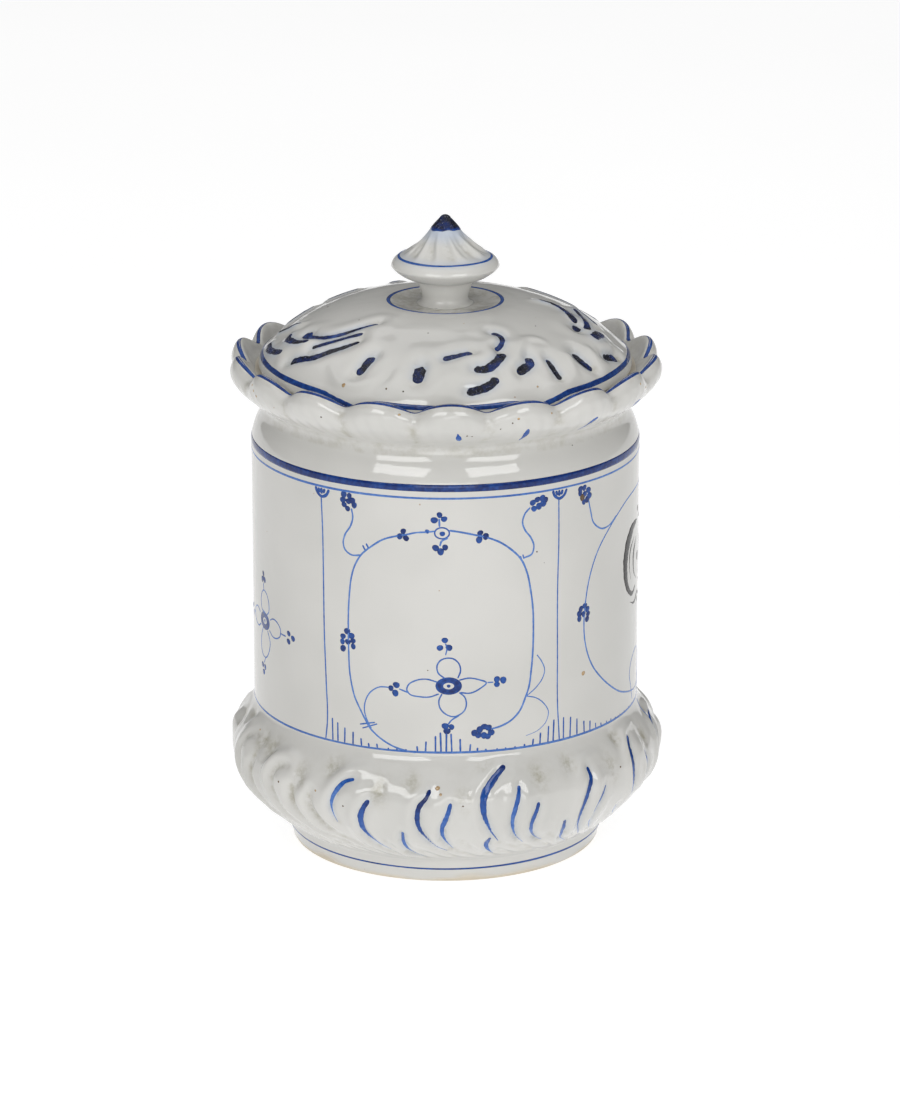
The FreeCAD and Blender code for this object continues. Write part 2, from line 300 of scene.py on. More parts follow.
class Brush:
    """Strokes of paint as thin closed solids that follow a skin."""

    # A stroke's section: places across it as shares of half its width, and heights over the skin.
    ACROSS = np.array([-1, -0.6, 0, 0.6, 1, 0])
    LIFT = np.array([-0.012, 0.04, 0.055, 0.04, -0.012, -0.25])
    SECTION_SPACING = 0.45
    DOT_SIDES = 12
    DOT_RINGS = [(1.0, -0.012), (0.6, 0.05)]
    DOT_TOP = 0.065
    DOT_ROOT = 0.3

    def __init__(self, skin, lift=1.0):
        self.skin = skin
        self.lift = lift
        self.vertices, self.faces, self.ink = [], [], []
        self.count = 0

    def add(self, vertices, faces, ink):
        self.vertices.append(vertices)
        self.faces += [tuple(self.count + corner for corner in face) for face in faces]
        self.ink.append(ink)
        self.count += len(vertices)

    def stroke(self, path, width, ink=0.5, head=1.0, tail=1.0, fade=0.0, closed=False):
        """A stroke of that width in millimetres.

        head and tail are the width's share at the two ends, and fade is how much paler the tail is.
        """
        centre = smooth_path(self.skin.flat_path(path), self.SECTION_SPACING, closed)
        run = np.concatenate([[0], np.cumsum(np.hypot(*np.diff(centre, axis=0).T))])
        length = run[-1]
        half = width / 2
        if not closed:
            tips = half * np.array([0.04, 0.2, 0.5])
            places = np.union1d(run, np.concatenate([tips, length - tips]))
            places = places[(places >= 0) & (places <= length)]
            centre = np.stack([np.interp(places, run, centre[:, k]) for k in (0, 1)], axis=-1)
            run = places
        t = run / max(length, 1e-6)
        shape = (head + (1 - head) * ease(t / 0.3)) * (1 + (tail - 1) * ease((t - 0.3) / 0.7))
        quick, slow = (np.sin(run * rate + chance.uniform(0, 6)) for rate in (1.9, 0.7))
        wobble = 1 + 0.10 * quick * slow
        if closed:
            direction = np.roll(centre, -1, axis=0) - np.roll(centre, 1, axis=0)
        else:
            near_end = np.minimum(run, length - run) / max(half, 1e-6)
            shape = shape * np.sqrt(np.clip(1 - (1 - np.minimum(near_end, 1)) ** 2, 0, 1))
            shape = np.maximum(shape, 0.02)
            direction = np.gradient(centre, axis=0)
        direction = direction / np.maximum(np.hypot(*direction.T), 1e-9)[:, None]
        side = np.stack([direction[:, 1], -direction[:, 0]], axis=-1)
        reach = half * shape if closed else half * shape * wobble
        offset = reach[:, None] * self.ACROSS
        across = centre[:, :1] + side[:, :1] * offset
        up = centre[:, 1:] + side[:, 1:] * offset
        points, normals = self.skin.surface(across, up)
        thin = np.clip(shape, 0.3, 1)[:, None, None]
        points = points + normals * (self.LIFT * self.lift)[None, :, None] * thin
        rows, ring = len(centre), len(self.ACROSS)
        faces = band_faces(rows, ring, closed)
        if not closed:
            faces.append(tuple(range(ring))[::-1])
            faces.append(tuple((rows - 1) * ring + k for k in range(ring)))
        shade = np.repeat(np.clip(ink - fade * t, 0, 1), ring)
        self.add(points.reshape(-1, 3), faces, shade)

    def dot(self, place, radius, ink):
        """A small domed blob of paint."""
        u, v = self.skin.flatten(*place)
        sides = self.DOT_SIDES
        angle = np.arange(sides) * 2 * math.pi / sides
        uneven = 1 + 0.07 * np.sin(2 * angle + chance.uniform(0, 6)) + 0.04 * np.sin(3 * angle)
        points = []
        for share, lift in self.DOT_RINGS:
            across = u + radius * share * uneven * np.cos(angle)
            up = v + radius * share * uneven * np.sin(angle)
            at, normal = self.skin.surface(across, up)
            points.append(at + normal * lift * self.lift)
        at, normal = self.skin.surface(np.array([u]), np.array([v]))
        points += [at + normal * self.DOT_TOP * self.lift, at - normal * self.DOT_ROOT]
        top, bottom = 2 * sides, 2 * sides + 1
        faces = []
        for k in range(sides):
            n = (k + 1) % sides
            faces += [(k, n, sides + n, sides + k), (top, sides + k, sides + n), (bottom, n, k)]
        self.add(np.vstack(points), faces, np.full(2 * sides + 2, ink))

    def berries(self, places, radius=1.12, ink=0.64):
        for place in places:
            self.dot(place, radius * chance.uniform(0.9, 1.12), ink + chance.uniform(-0.06, 0.06))

    def piece(self, name, body, slot, material):
        piece = make_mesh(name, np.vstack(self.vertices), self.faces, {"ink": np.concatenate(self.ink)})
        piece.data.materials.append(material)
        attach(piece, body)
        return piece


# ---------------------------------------------------------------- materials

def node(tree, kind, **settings):
    made = tree.nodes.new(kind)
    for key, setting in settings.items():
        setattr(made, key, setting)
    return made


def ramp(tree, factor, stops):
    made = node(tree, "ShaderNodeValToRGB")
    made.color_ramp.elements.remove(made.color_ramp.elements[1])
    for index, (place, colour) in enumerate(stops):
        stop = made.color_ramp.elements[0] if index == 0 else made.color_ramp.elements.new(place)
        stop.position = place
        stop.color = (*colour, 1)
    tree.links.new(factor, made.inputs["Fac"])
    return made.outputs["Color"]


def object_place(tree, offset):
    """Places in the object's own frame, moved by the offset."""
    mapping = node(tree, "ShaderNodeMapping")
    mapping.inputs["Location"].default_value = offset
    tree.links.new(node(tree, "ShaderNodeTexCoord").outputs["Object"], mapping.inputs["Vector"])
    return mapping.outputs["Vector"]


def noise(tree, scale, detail=3.0, roughness=0.55, offset=(0, 0, 0)):
    made = node(tree, "ShaderNodeTexNoise")
    made.inputs["Scale"].default_value = scale
    made.inputs["Detail"].default_value = detail
    made.inputs["Roughness"].default_value = roughness
    tree.links.new(object_place(tree, offset), made.inputs["Vector"])
    return made.outputs["Fac"]


def maths(tree, operation, first, second):
    made = node(tree, "ShaderNodeMath", operation=operation)
    for socket, value in zip(made.inputs, (first, second)):
        if isinstance(value, (int, float)):
            socket.default_value = value
        else:
            tree.links.new(value, socket)
    return made.outputs["Value"]


def times(tree, first, second):
    return maths(tree, "MULTIPLY", first, second)


def plus(tree, first, second):
    return maths(tree, "ADD", first, second)


def minus(tree, first, second):
    return maths(tree, "SUBTRACT", first, second)


def rising(tree, value, low, high):
    """0 up to low, 1 from high, and even between."""
    made = node(tree, "ShaderNodeMapRange")
    made.inputs["From Min"].default_value = low
    made.inputs["From Max"].default_value = high
    tree.links.new(value, made.inputs["Value"])
    return made.outputs["Result"]


def specks(tree, scale, size, offset):
    """1 inside scattered specks of up to that size in cells, 0 elsewhere."""
    cells = node(tree, "ShaderNodeTexVoronoi", feature="F1")
    cells.inputs["Scale"].default_value = scale
    tree.links.new(object_place(tree, offset), cells.inputs["Vector"])
    split = node(tree, "ShaderNodeSeparateColor")
    tree.links.new(cells.outputs["Color"], split.inputs["Color"])
    chosen = maths(tree, "GREATER_THAN", split.outputs["Green"], EMPTY_CELLS)
    near = minus(tree, times(tree, split.outputs["Red"], size), cells.outputs["Distance"])
    return times(tree, rising(tree, near, 0, size * SPECK_EDGE), chosen)


def mixed(tree, factor, first, second):
    made = node(tree, "ShaderNodeMix", data_type="RGBA")
    for socket, value in ((made.inputs["Factor"], factor), (made.inputs[6], first), (made.inputs[7], second)):
        if isinstance(value, tuple):
            socket.default_value = (*value, 1)
        elif isinstance(value, (int, float)):
            socket.default_value = value
        else:
            tree.links.new(value, socket)
    return made.outputs[2]


def attribute(tree, name):
    return node(tree, "ShaderNodeAttribute", attribute_name=name).outputs["Fac"]


def new_material(name):
    material = bpy.data.materials.new(name)
    material.use_nodes = True
    return material, material.node_tree, material.node_tree.nodes["Principled BSDF"]


def bump(tree, shader, height, strength, distance):
    made = node(tree, "ShaderNodeBump")
    made.inputs["Strength"].default_value = strength
    made.inputs["Distance"].default_value = distance
    tree.links.new(height, made.inputs["Height"])
    tree.links.new(made.outputs["Normal"], shader.inputs["Normal"])


BLACK = (0, 0, 0)
WHITE = (1, 1, 1)
GLAZE_PALE = (0.625, 0.617, 0.590)
GLAZE_DEEP = (0.570, 0.565, 0.538)
# Grey brown of dirt, used also for the painted shade in hollows.
DIRT_AND_SHADE = (0.31, 0.29, 0.215)
BLEED = (0.36, 0.46, 0.64)
BARE_CLAY = (0.62, 0.55, 0.43)
RUST = (0.33, 0.19, 0.08)
PINHOLE = (0.05, 0.045, 0.04)
BURNT_BLUE = (0.012, 0.011, 0.010)
GLINT = (0.30, 0.32, 0.40)
# Blue from the thinnest paint to the thickest.
BLUES = [(0.0, (0.30, 0.42, 0.68)), (0.30, (0.080, 0.190, 0.50)), (0.52, (0.016, 0.080, 0.33)),
         (0.74, (0.004, 0.020, 0.125)), (0.94, (0.003, 0.004, 0.014))]
IRON_TONES = [(0.15, (0.56, 0.42, 0.24)), (0.5, (0.24, 0.13, 0.05)), (0.85, (0.035, 0.022, 0.014))]
ENAMEL_TONES = [(0.35, (0.012, 0.012, 0.012)), (0.75, (0.045, 0.042, 0.04))]
GLASS_IOR = 1.5
# The share of cells with no speck in them, and the soft edge of a speck as a share of its size.
EMPTY_CELLS = 0.62
SPECK_EDGE = 0.35


def porcelain(name, offset, shade):
    """Cool white glaze with painted shade and dirt in its hollows, rust specks, pinholes and bare clay. Its
    brightness is scaled by shade, for lighter and darker copies as painted light.
    """
    deep, pale = (tuple(value * shade for value in tone) for tone in (GLAZE_DEEP, GLAZE_PALE))
    material, tree, shader = new_material(name)
    patchy = ramp(tree, noise(tree, 260, 5, 0.7, offset), [(0.42, BLACK), (0.68, WHITE)])
    # The mark of the hollows darkens them in patches towards grey brown: painted shade and dirt.
    shaded_and_stained = times(tree, attribute(tree, "hollow"), patchy)
    clay = attribute(tree, "bare")
    grain = noise(tree, 900, 4, 0.7)
    colour = ramp(tree, noise(tree, 22, 2, offset=offset), [(0.30, deep), (0.62, pale)])
    for cover, tone in (
        (times(tree, shaded_and_stained, 0.95), DIRT_AND_SHADE),
        (times(tree, attribute(tree, "bleed"), 0.55), BLEED),
        (times(tree, specks(tree, 130, 0.055, offset), 0.7), RUST),
        (specks(tree, 95, 0.032, tuple(value + 1.7 for value in offset)), PINHOLE),
        (clay, mixed(tree, grain, BARE_CLAY, tuple(value * 0.82 for value in BARE_CLAY))),
    ):
        colour = mixed(tree, cover, colour, tone)
    tree.links.new(colour, shader.inputs["Base Color"])
    glossy = plus(tree, times(tree, noise(tree, 60, 3), 0.05), 0.025)
    tree.links.new(maths(tree, "MAXIMUM", glossy, times(tree, clay, 0.62)), shader.inputs["Roughness"])
    shader.inputs["IOR"].default_value = GLASS_IOR
    height = plus(tree, noise(tree, 240, 2, 0.4), times(tree, times(tree, grain, clay), 2))
    bump(tree, shader, height, 0.10, 0.0006)
    return material


def cobalt(name, offset, speckle):
    """Blue under the glaze, paler where it is thin and nearly black where it is thick."""
    material, tree, shader = new_material(name)
    ink = attribute(tree, "ink")
    uneven = times(tree, minus(tree, noise(tree, 700, 4, 0.6, offset), 0.5), 0.42)
    broad = minus(tree, noise(tree, 230 if speckle else 110, 2, 0.5, offset), 0.5)
    broad = times(tree, broad, 0.8 if speckle else 0.3)
    colour = ramp(tree, plus(tree, plus(tree, ink, uneven), broad), BLUES)
    if speckle:
        thick = rising(tree, ink, 0.50, 0.82)
        spots = ramp(tree, noise(tree, 2400, 3, 0.7, offset), [(0.55, BLACK), (0.68, WHITE)])
        spotted = times(tree, spots, thick)
        colour = mixed(tree, times(tree, spotted, speckle), colour, BURNT_BLUE)
        glints = ramp(tree, noise(tree, 1900, 3, 0.7, offset[::-1]), [(0.60, BLACK), (0.70, WHITE)])
        colour = mixed(tree, times(tree, times(tree, glints, thick), 0.6), colour, GLINT)
        rough = plus(tree, times(tree, spotted, 0.35), 0.10)
        bump(tree, shader, spots, 0.55, 0.0004)
    else:
        rough = plus(tree, times(tree, noise(tree, 90, 2), 0.12), 0.05)
    tree.links.new(rough, shader.inputs["Roughness"])
    tree.links.new(colour, shader.inputs["Base Color"])
    shader.inputs["IOR"].default_value = GLASS_IOR
    shader.inputs["Specular IOR Level"].default_value = 0.35
    return material


def enamel(name):
    """Black fired enamel, a little worn."""
    material, tree, shader = new_material(name)
    worn = noise(tree, 420, 4, 0.6)
    tree.links.new(ramp(tree, worn, ENAMEL_TONES), shader.inputs["Base Color"])
    tree.links.new(plus(tree, times(tree, worn, 0.2), 0.16), shader.inputs["Roughness"])
    shader.inputs["Specular IOR Level"].default_value = 0.2
    return material


def iron(name):
    """Rusty brown of an iron speck fired into the glaze, nearly black where its ink is highest."""
    material, tree, shader = new_material(name)
    grain = times(tree, minus(tree, noise(tree, 1500, 3, 0.6), 0.5), 0.8)
    colour = ramp(tree, plus(tree, attribute(tree, "ink"), grain), IRON_TONES)
    tree.links.new(colour, shader.inputs["Base Color"])
    tree.links.new(plus(tree, times(tree, grain, 0.3), 0.15), shader.inputs["Roughness"])
    return material


# One glaze in three brightnesses, darker on the jar, lighter on the lid and lighter still on the knob:
# painted light that evens out how the lamps light the three pieces.
JAR_GLAZE = porcelain("jar_glaze", (0.3, 0.1, 0.7), 0.955)
LID_GLAZE = porcelain("lid_glaze", (2.1, 0.9, 0.2), 1.03)
KNOB_GLAZE = porcelain("knob_glaze", (4.4, 1.8, 0.5), 1.08)
FINE_BLUE = cobalt("fine_cobalt", (0.2, 0.4, 0.1), 0)
THICK_BLUE = cobalt("thick_cobalt", (1.2, 0.6, 0.3), 0.9)
BLACK_ENAMEL = enamel("black_enamel")
IRON = iron("iron_specks")


# ---------------------------------------------------------------- relief and strokes on the base

BASE_DEGREE = BASE_SPREAD * math.pi / 180

# Each stroke: its path from the thick end, its width, and how dark it starts.
BASE_STROKES = [
    ([(-25, 39), (-27.5, 38), (-29.3, 35.6), (-30.7, 32.5), (-31.3, 29), (-31, 26.5),
      (-30.2, 23.5)], 1.4, 0.58),
    ([(-20.3, 33.5), (-22, 30), (-22.8, 27.4), (-23, 24.5), (-22.7, 21.5), (-21.3, 18.3), (-19.3, 16),
      (-16.5, 14.4)], 1.9, 0.66),
    ([(-11.5, 23), (-11.8, 20.7), (-12, 17.8), (-11.2, 14.8), (-9.5, 12.5), (-6, 10.8)], 1.2, 0.52),
    ([(-4, 38), (-5, 35.4), (-6.8, 32.5), (-7.3, 29.4), (-7.2, 26), (-6.7, 23.8), (-5.2, 20.6), (-3, 17.8),
      (0.6, 15)], 1.6, 0.80),
    ([(1.4, 34), (0.8, 31), (0, 28), (-0.8, 25), (-0.7, 22), (0.5, 18.7), (2.4, 15.7)], 1.6, 0.60),
    ([(16.8, 43.8), (14.3, 41.6), (12, 39), (10.5, 36.8), (9.9, 34), (10.2, 29.5), (11.3, 25.8), (13, 22),
      (15, 19)], 2.4, 0.74),
    ([(12.5, 20.2), (12, 17), (13, 14.4), (15.2, 12.2)], 1.8, 0.62),
    ([(19.8, 38), (19.3, 34.4), (18.5, 30.8), (18, 27.4), (18.5, 23.5), (20, 20), (22.8, 17.3)], 1.6, 0.60),
    ([(25, 32), (24.6, 29), (24, 26.3), (23.9, 23), (25, 20), (27, 17.5), (30, 15.7)], 1.6, 0.62),
    ([(34.4, 23), (35.5, 19.8), (36.6, 16.5), (38, 14), (42.8, 11)], 1.5, 0.60),
    ([(41.7, 39.2), (42, 36), (41, 32.8), (40, 28.6), (39.7, 23.8), (41, 19.4), (45, 14)], 1.6, 0.68),
    ([(47, 32), (46.5, 28.7), (45.5, 25), (45.4, 21), (47.7, 16.7), (51, 13.6)], 0.8, 0.55),
    ([(56.7, 21), (58.5, 18), (61, 16)], 0.7, 0.5),
    ([(63, 42.5), (60.8, 39), (60.2, 34.8), (60.6, 30), (62.8, 24.7), (67, 18.5)], 2.0, 0.70),
    ([(68, 36), (69.3, 32.7), (69.4, 28.8), (72, 21.4)], 1.3, 0.60),
]
# One scroll of the moulded border, about its head: three strokes, repeated round the back.
SCROLL = [
    ([(0, 41.5), (-3.2, 39), (-5, 35.5), (-5.6, 31), (-5, 26), (-3.2, 21.5), (0, 17.5), (3, 15)], 1.8, 0.68),
    ([(5, 35), (4.2, 31.5), (3.6, 27.5), (4, 23.5), (5.8, 19.5), (8.6, 16)], 1.5, 0.60),
    ([(11.2, 29), (10.7, 25.5), (11, 21.5), (12.6, 18), (15.2, 15)], 1.4, 0.58),
]
# The moulded heads as azimuth, height and strength. Glaze has nearly filled those in the middle.
FRONT_HEADS = [(-91, 41, 1.0), (-69, 41, 1.2), (-49, 36, 1.35), (-24.6, 37, 0.95), (-1.5, 35, 0.25),
               (19, 40, 0.35), (43.5, 37, 0.55), (64.5, 40, 1.0)]
BACK_HEADS = [87.5 + 22.6 * k for k in range(8)]
# The rolled edge round the left and top of each head, from the head's own place.
HOOK = [(-7.4, -5), (-6.4, -1), (-4.2, 2.6), (-0.6, 4.8), (3.2, 5), (5.6, 3.4)]
# The bead inside each hook and the hollows beside it: azimuth and height from the head's own place,
# then height, radius and stretch upward.
HEAD_BOSSES = [(0.4, -3, 1.3, 3.0, 1.1), (-7.4, 4.2, -0.9, 2.6, 1.3), (6.8, -0.6, -0.8, 2.8, 1.5)]
# The flutes that run out below each head, as how far round from it they start and their depth.
FLUTES = [(0.5, 0.45), (6.5, 0.55), (12.5, 0.5), (18, 0.4)]
UNPAINTED_GROOVES = [
    [(-66, 41.5), (-69.6, 39.5), (-71.2, 35), (-70.6, 29), (-67, 22.5), (-61, 16.5)],
    [(-62.5, 36), (-64, 31), (-63.4, 26), (-60, 20), (-54, 14.5)],
    [(-47.5, 38), (-51, 36.5), (-52.6, 33), (-52.6, 28.5), (-50.5, 22), (-45, 15)],
    [(-44.3, 32), (-45, 28), (-43.2, 23.5), (-39, 18.5), (-33, 13.5)],
    [(-37.6, 33), (-38.6, 29), (-37.6, 25), (-35, 20.5), (-31.5, 16.6)],
]


def back_strokes():
    """The scroll once more for each head at the back, no two quite alike."""
    drawn = []
    for head in BACK_HEADS:
        for path, width, ink in SCROLL:
            lean = chance.uniform(-1, 1)
            lower = chance.uniform(-1.2, 1.2)
            moved = [(head + a + lean, z + lower * (z - 14) / 25) for a, z in path]
            drawn.append((moved, width * chance.uniform(0.85, 1.15), ink + chance.uniform(-0.05, 0.08)))
    return drawn


ALL_BASE_STROKES = BASE_STROKES + back_strokes()


def base_relief(across, up, flat):
    """Scrolls of the base: grooves under the strokes, ridges beside them, heads and fading flutes."""
    relief = Relief(across, up, wrap=360 * BASE_DEGREE)
    for path, width, _ in ALL_BASE_STROKES:
        size = len(path) / 8
        relief.groove(flat(path), 0.45 + 0.5 * size, 1.1 + 0.25 * size, 0.6 + 0.65 * size, 0.4 + 0.35 * size)
        relief.halo(flat(path), 1.0)
    for path in UNPAINTED_GROOVES:
        relief.groove(flat(path), 1.25, 1.4, 1.7, 1.1)
    for head, top, strength in FRONT_HEADS + [(head + 2.5, 38.5, 0.8) for head in BACK_HEADS]:
        for a, z, height, radius, stretch in HEAD_BOSSES:
            relief.boss(flat([(head + a, top + z)])[0], height * strength, radius, stretch)
        relief.ridge(flat([(head + a, top + z) for a, z in HOOK]), 1.25 * strength, 1.5, head=0.5, tail=0.3)
        for k, (start, depth) in enumerate(FLUTES):
            foot = head + start
            flute = [(foot - 1, 21 - k), (foot + 2.6, 16), (foot + 8.5, 12), (foot + 17, 9.3),
                     (foot + 24, 8.3)]
            relief.groove(flat(flute), depth, 0.85, 0.4, 0.3, head=0.4, tail=0.5)
    return relief


# ---------------------------------------------------------------- the jar

JAR_COLUMNS = 34 * PETALS
WALL_BASE = 47.8
WALL_TOP = 134.9
SHOULDER_TOP = (60.1, 142.2)
NECK = (58.9, 146.4)
LEDGE = (60.8, 157.4)

# The frill's section at a petal's crest and in a valley, from the neck over the lip to the ledge.
CREST = [NECK, (60.0, 148.0), (62.2, 149.4), (64.5, 150.9), (66.4, 152.6), (67.9, 154.4), (68.9, 156.2),
         (69.45, 157.9), (69.5, 159.7), (69.0, 161.4), (68.2, 162.9), (66.9, 163.8), (65.7, 163.0),
         (64.6, 160.9), (63.6, 159.2), (62.3, 158.0), LEDGE]
VALLEY = [NECK, (60.0, 148.0), (62.1, 149.4), (64.3, 150.9), (66.0, 152.6), (67.1, 154.3), (67.5, 155.7),
          (67.3, 157.0), (66.8, 158.2), (66.0, 159.1), (64.9, 159.6), (63.7, 159.5), (62.9, 159.1),
          (62.3, 158.7), (61.8, 158.3), (61.3, 157.8), LEDGE]
# Seen from above, each petal is an arc of this radius about a centre this far from the axis.
PETAL_RADIUS = 15.4
PETAL_CENTRE = 54
FRILL_STEPS = 34
SMOOTHING = [0.2, 0.6, 0.2]
# How softly two petals meet, in degrees.
VALLEY_ROUNDING = 1.6


def petal_reach(swing):
    """The radius of a petal's outline at an angle in degrees from its crest."""
    swing = np.radians(swing)
    return PETAL_CENTRE * np.cos(swing) + np.sqrt(PETAL_RADIUS ** 2 - (PETAL_CENTRE * np.sin(swing)) ** 2)


def petal_weight(azimuth):
    """1 at a petal's crest and 0 in the valley beside it, which is rounded off."""
    half = PETAL_PITCH / 2
    swing = (azimuth - FIRST_CREST + half) % PETAL_PITCH - half
    beyond = np.hypot(half - np.abs(swing), VALLEY_ROUNDING) - VALLEY_ROUNDING
    beyond *= half / (math.hypot(half, VALLEY_ROUNDING) - VALLEY_ROUNDING)
    edge = petal_reach(half)
    return (petal_reach(half - beyond) - edge) / (petal_reach(0) - edge)


def frill_rows(azimuth):
    """Radii and heights of the frill's rows, one column per azimuth, and each row's step along CREST."""
    places = np.linspace(0, len(CREST) - 1, FRILL_STEPS + 1)
    sections = []
    for table in (CREST, VALLEY):
        section = np.stack([np.interp(places, np.arange(len(table)), column) for column in np.array(table).T])
        for line in section:
            line[1:-1] = np.convolve(line, SMOOTHING, "valid")
        sections.append(section[..., None])
    crest, valley = sections
    weight = petal_weight(azimuth)
    petal = np.floor((azimuth - FIRST_CREST + PETAL_PITCH / 2) / PETAL_PITCH).astype(int) % PETALS
    lift = np.array([chance.uniform(-0.45, 0.3) for _ in range(PETALS)])[petal]
    splay = np.array([chance.uniform(-0.5, 0.25) for _ in range(PETALS)])[petal]
    radii, heights = valley + (crest - valley) * weight
    # Each petal's lip stands a little higher or lower, and further in or out, than its neighbours'.
    rise = (ease((places - 4) / 5) * ease((15.5 - places) / 3))[:, None]
    radii += rise * splay * weight
    heights += rise * lift * weight
    # Fine slanting flutes under the lip, five to a petal.
    under_lip = (ease((places - 1.5) / 2.5) * ease((9 - places) / 3))[:, None]
    slant = 5 * PETALS * np.radians(azimuth - FIRST_CREST) + 0.64 * (places[:, None] - 4)
    radii += under_lip * 0.16 * np.cos(slant) * (0.4 + 0.6 * weight)
    return radii, heights, places


def blank_marks(grid):
    """Where the glaze gets painted shade and dirt, where blue has bled into it and where the clay is bare:
    nowhere yet.
    """
    return {name: np.zeros(grid.shape[:2]) for name in ("hollow", "bleed", "bare")}


# The jar's section below the bulge, at the top of the bulge and inside from the ledge to the floor.
FOOT = [(20, 3.5), (38, 3.5), (44.3, 3.5), (45.1, 3.2), (45.8, 0.8), (46.3, 0.12), (47.2, 0), (49.1, 0),
        (50.0, 0.2), (50.35, 0.8), (50.6, 1.8), (51.1, 3.6), (51.55, 5.0), (51.8, 6.0), (52.1, 7.1)]
CROWN = [(67.4, 23.2), (69.0, 26.8), (69.8, 30.3), (69.8, 33), (69.3, 35.6), (68.3, 38), (67.1, 40),
         (65.1, 43), (63.5, 45.4), (62.8, 46.8), (WALL_RADIUS, WALL_BASE)]
INSIDE = [(57.5, 157.4), (54.6, 157.35), (54.1, 156.9), (54, 155), (54, 148), (54, 141.5), (57.8, 131.6),
          (58, 130), (58, 115), (58, 100), (58, 85), (58, 70), (58, 56), (58.2, 50.5), (60.8, 44),
          (63.1, 38.6), (63.8, 33), (63.5, 27), (61.5, 20), (57, 14.4), (50.5, 11), (44, 10), (30, 10),
          (12, 10)]


def press_relief(grid, marks, outside, azimuth, first, last):
    """Press the scrolls into the bulge, which is rows first to last of the grid."""
    level = outside[first:last, 1]
    plain = Skin(grid[first - 2:last + 2], outside[first - 2:last + 2, 1], spread=BASE_SPREAD)
    across = np.broadcast_to(azimuth * BASE_DEGREE, (last - first, JAR_COLUMNS))
    up = np.broadcast_to(plain.mark_runs[2:-2, None], across.shape)
    relief = base_relief(across, up, plain.flat_path)
    edge = (ease((level - 8.2) / 4) * ease((WALL_BASE - 0.6 - level) / 3.5))[:, None]
    level = level[:, None]
    facing = (azimuth + 180) % 360 - 180
    calm = 1 - 0.5 * np.exp(-(facing / 26) ** 2) * ease((level - 25) / 8)
    height = soften(relief.height, 2, 2.4) * edge * calm
    grid[first:last] += plain.normals[2:-2] * height[..., None]
    # A faint darker band about 42 mm up, above the heads.
    darker_band = 0.08 * np.exp(-((level - 42) / 4.5) ** 2)
    # Painted shade and dirt: darker in the grooves and the sunken bosses, lighter on the raised relief.
    marks["hollow"][first:last] = np.clip((relief.hollow - 0.35 * relief.height) * edge + darker_band, 0, 1)
    marks["bleed"][first:last] = 0.6 * relief.near_paint


def make_jar():
    azimuth = np.arange(JAR_COLUMNS) * 360 / JAR_COLUMNS
    bulge = arc((52.2, 7.8), CROWN[0], 58.9, 26)
    bulge += [tuple(point) for point in smooth_path(CROWN, 0.8)[:-1]]
    wall = [(WALL_RADIUS, z) for z in (WALL_BASE, 48.5, 50, 62, 76, 90, 104, 118, 130)]
    shoulder = arc((WALL_RADIUS, WALL_TOP), SHOULDER_TOP, 21, 8) + arc(SHOULDER_TOP, NECK, -9.9, 6)
    outside = np.array(FOOT + bulge + wall + shoulder)
    inside = np.array(INSIDE)
    frill_radii, frill_heights, places = frill_rows(azimuth)
    columns = np.ones(JAR_COLUMNS)
    radii = np.vstack([outside[:, :1] * columns, frill_radii, inside[:, :1] * columns])
    heights = np.vstack([outside[:, 1:] * columns, frill_heights, inside[:, 1:] * columns])
    grid = turn_round(radii, heights, JAR_COLUMNS)
    marks = blank_marks(grid)
    first, last = len(FOOT), len(FOOT) + len(bulge)
    press_relief(grid, marks, outside, azimuth, first, last)

    # The wall, the shoulder and the neck are a little out of round.
    turn = np.radians(azimuth)
    warp = 0.10 * np.sin(2 * turn + 0.7) + 0.06 * np.sin(3 * turn + 2.0) + 0.03 * np.sin(7 * turn)
    frill_row = len(outside)
    share = ease((outside[:, 1] - 50) / 30)
    grid[:frill_row, :, :2] *= (1 + (share[:, None] * warp / WALL_RADIUS))[..., None]

    # Bare clay at the foot, up to an uneven edge, and on the ledge. Painted shade and dirt inside the frill,
    # in its valleys and at the neck.
    clay_edge = 1.7 + 0.5 * np.sin(5 * turn) + 0.3 * np.sin(13 * turn)
    marks["bare"][3:first] = ease((clay_edge - heights[3:first]) / 0.9)
    ledge_row = frill_row + FRILL_STEPS
    marks["bare"][ledge_row:ledge_row + 3] = 0.75
    marks["hollow"][frill_row + 20:ledge_row] = 0.25
    marks["hollow"][frill_row + 4:frill_row + 18] = 0.6 * (1 - petal_weight(azimuth)) ** 6
    marks["hollow"][frill_row - 3:frill_row + 3] = 0.35
    jar = closed_turning("jar_porcelain", grid, marks, FOOT[0][1], INSIDE[-1][1])
    jar.data.materials.append(JAR_GLAZE)
    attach(jar, "jar")
    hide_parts("jar_body")

    wall_skin = Skin(grid[last - 1:frill_row], outside[last - 1:, 1], spread=WALL_RADIUS)
    base_skin = Skin(grid[first - 6:last + 2], outside[first - 6:last + 2, 1], spread=BASE_SPREAD)
    frill_skin = Skin(grid[frill_row:ledge_row + 1], places, spread=FRILL_SPREAD)
    return wall_skin, base_skin, frill_skin


# ---------------------------------------------------------------- the lid

LID_COLUMNS = 540
RING_RADIUS = 18.4
DOME_EDGE = (58.5, 162.4)
# The front's strokes and ridges are drawn again at the back if they stay within this azimuth.
BACK_COPY_LIMIT = 68
# Strokes that go past this azimuth, at the sides and the back, lie on raised rolls, and the others in
# dimples.
SIDE_STROKES = 78

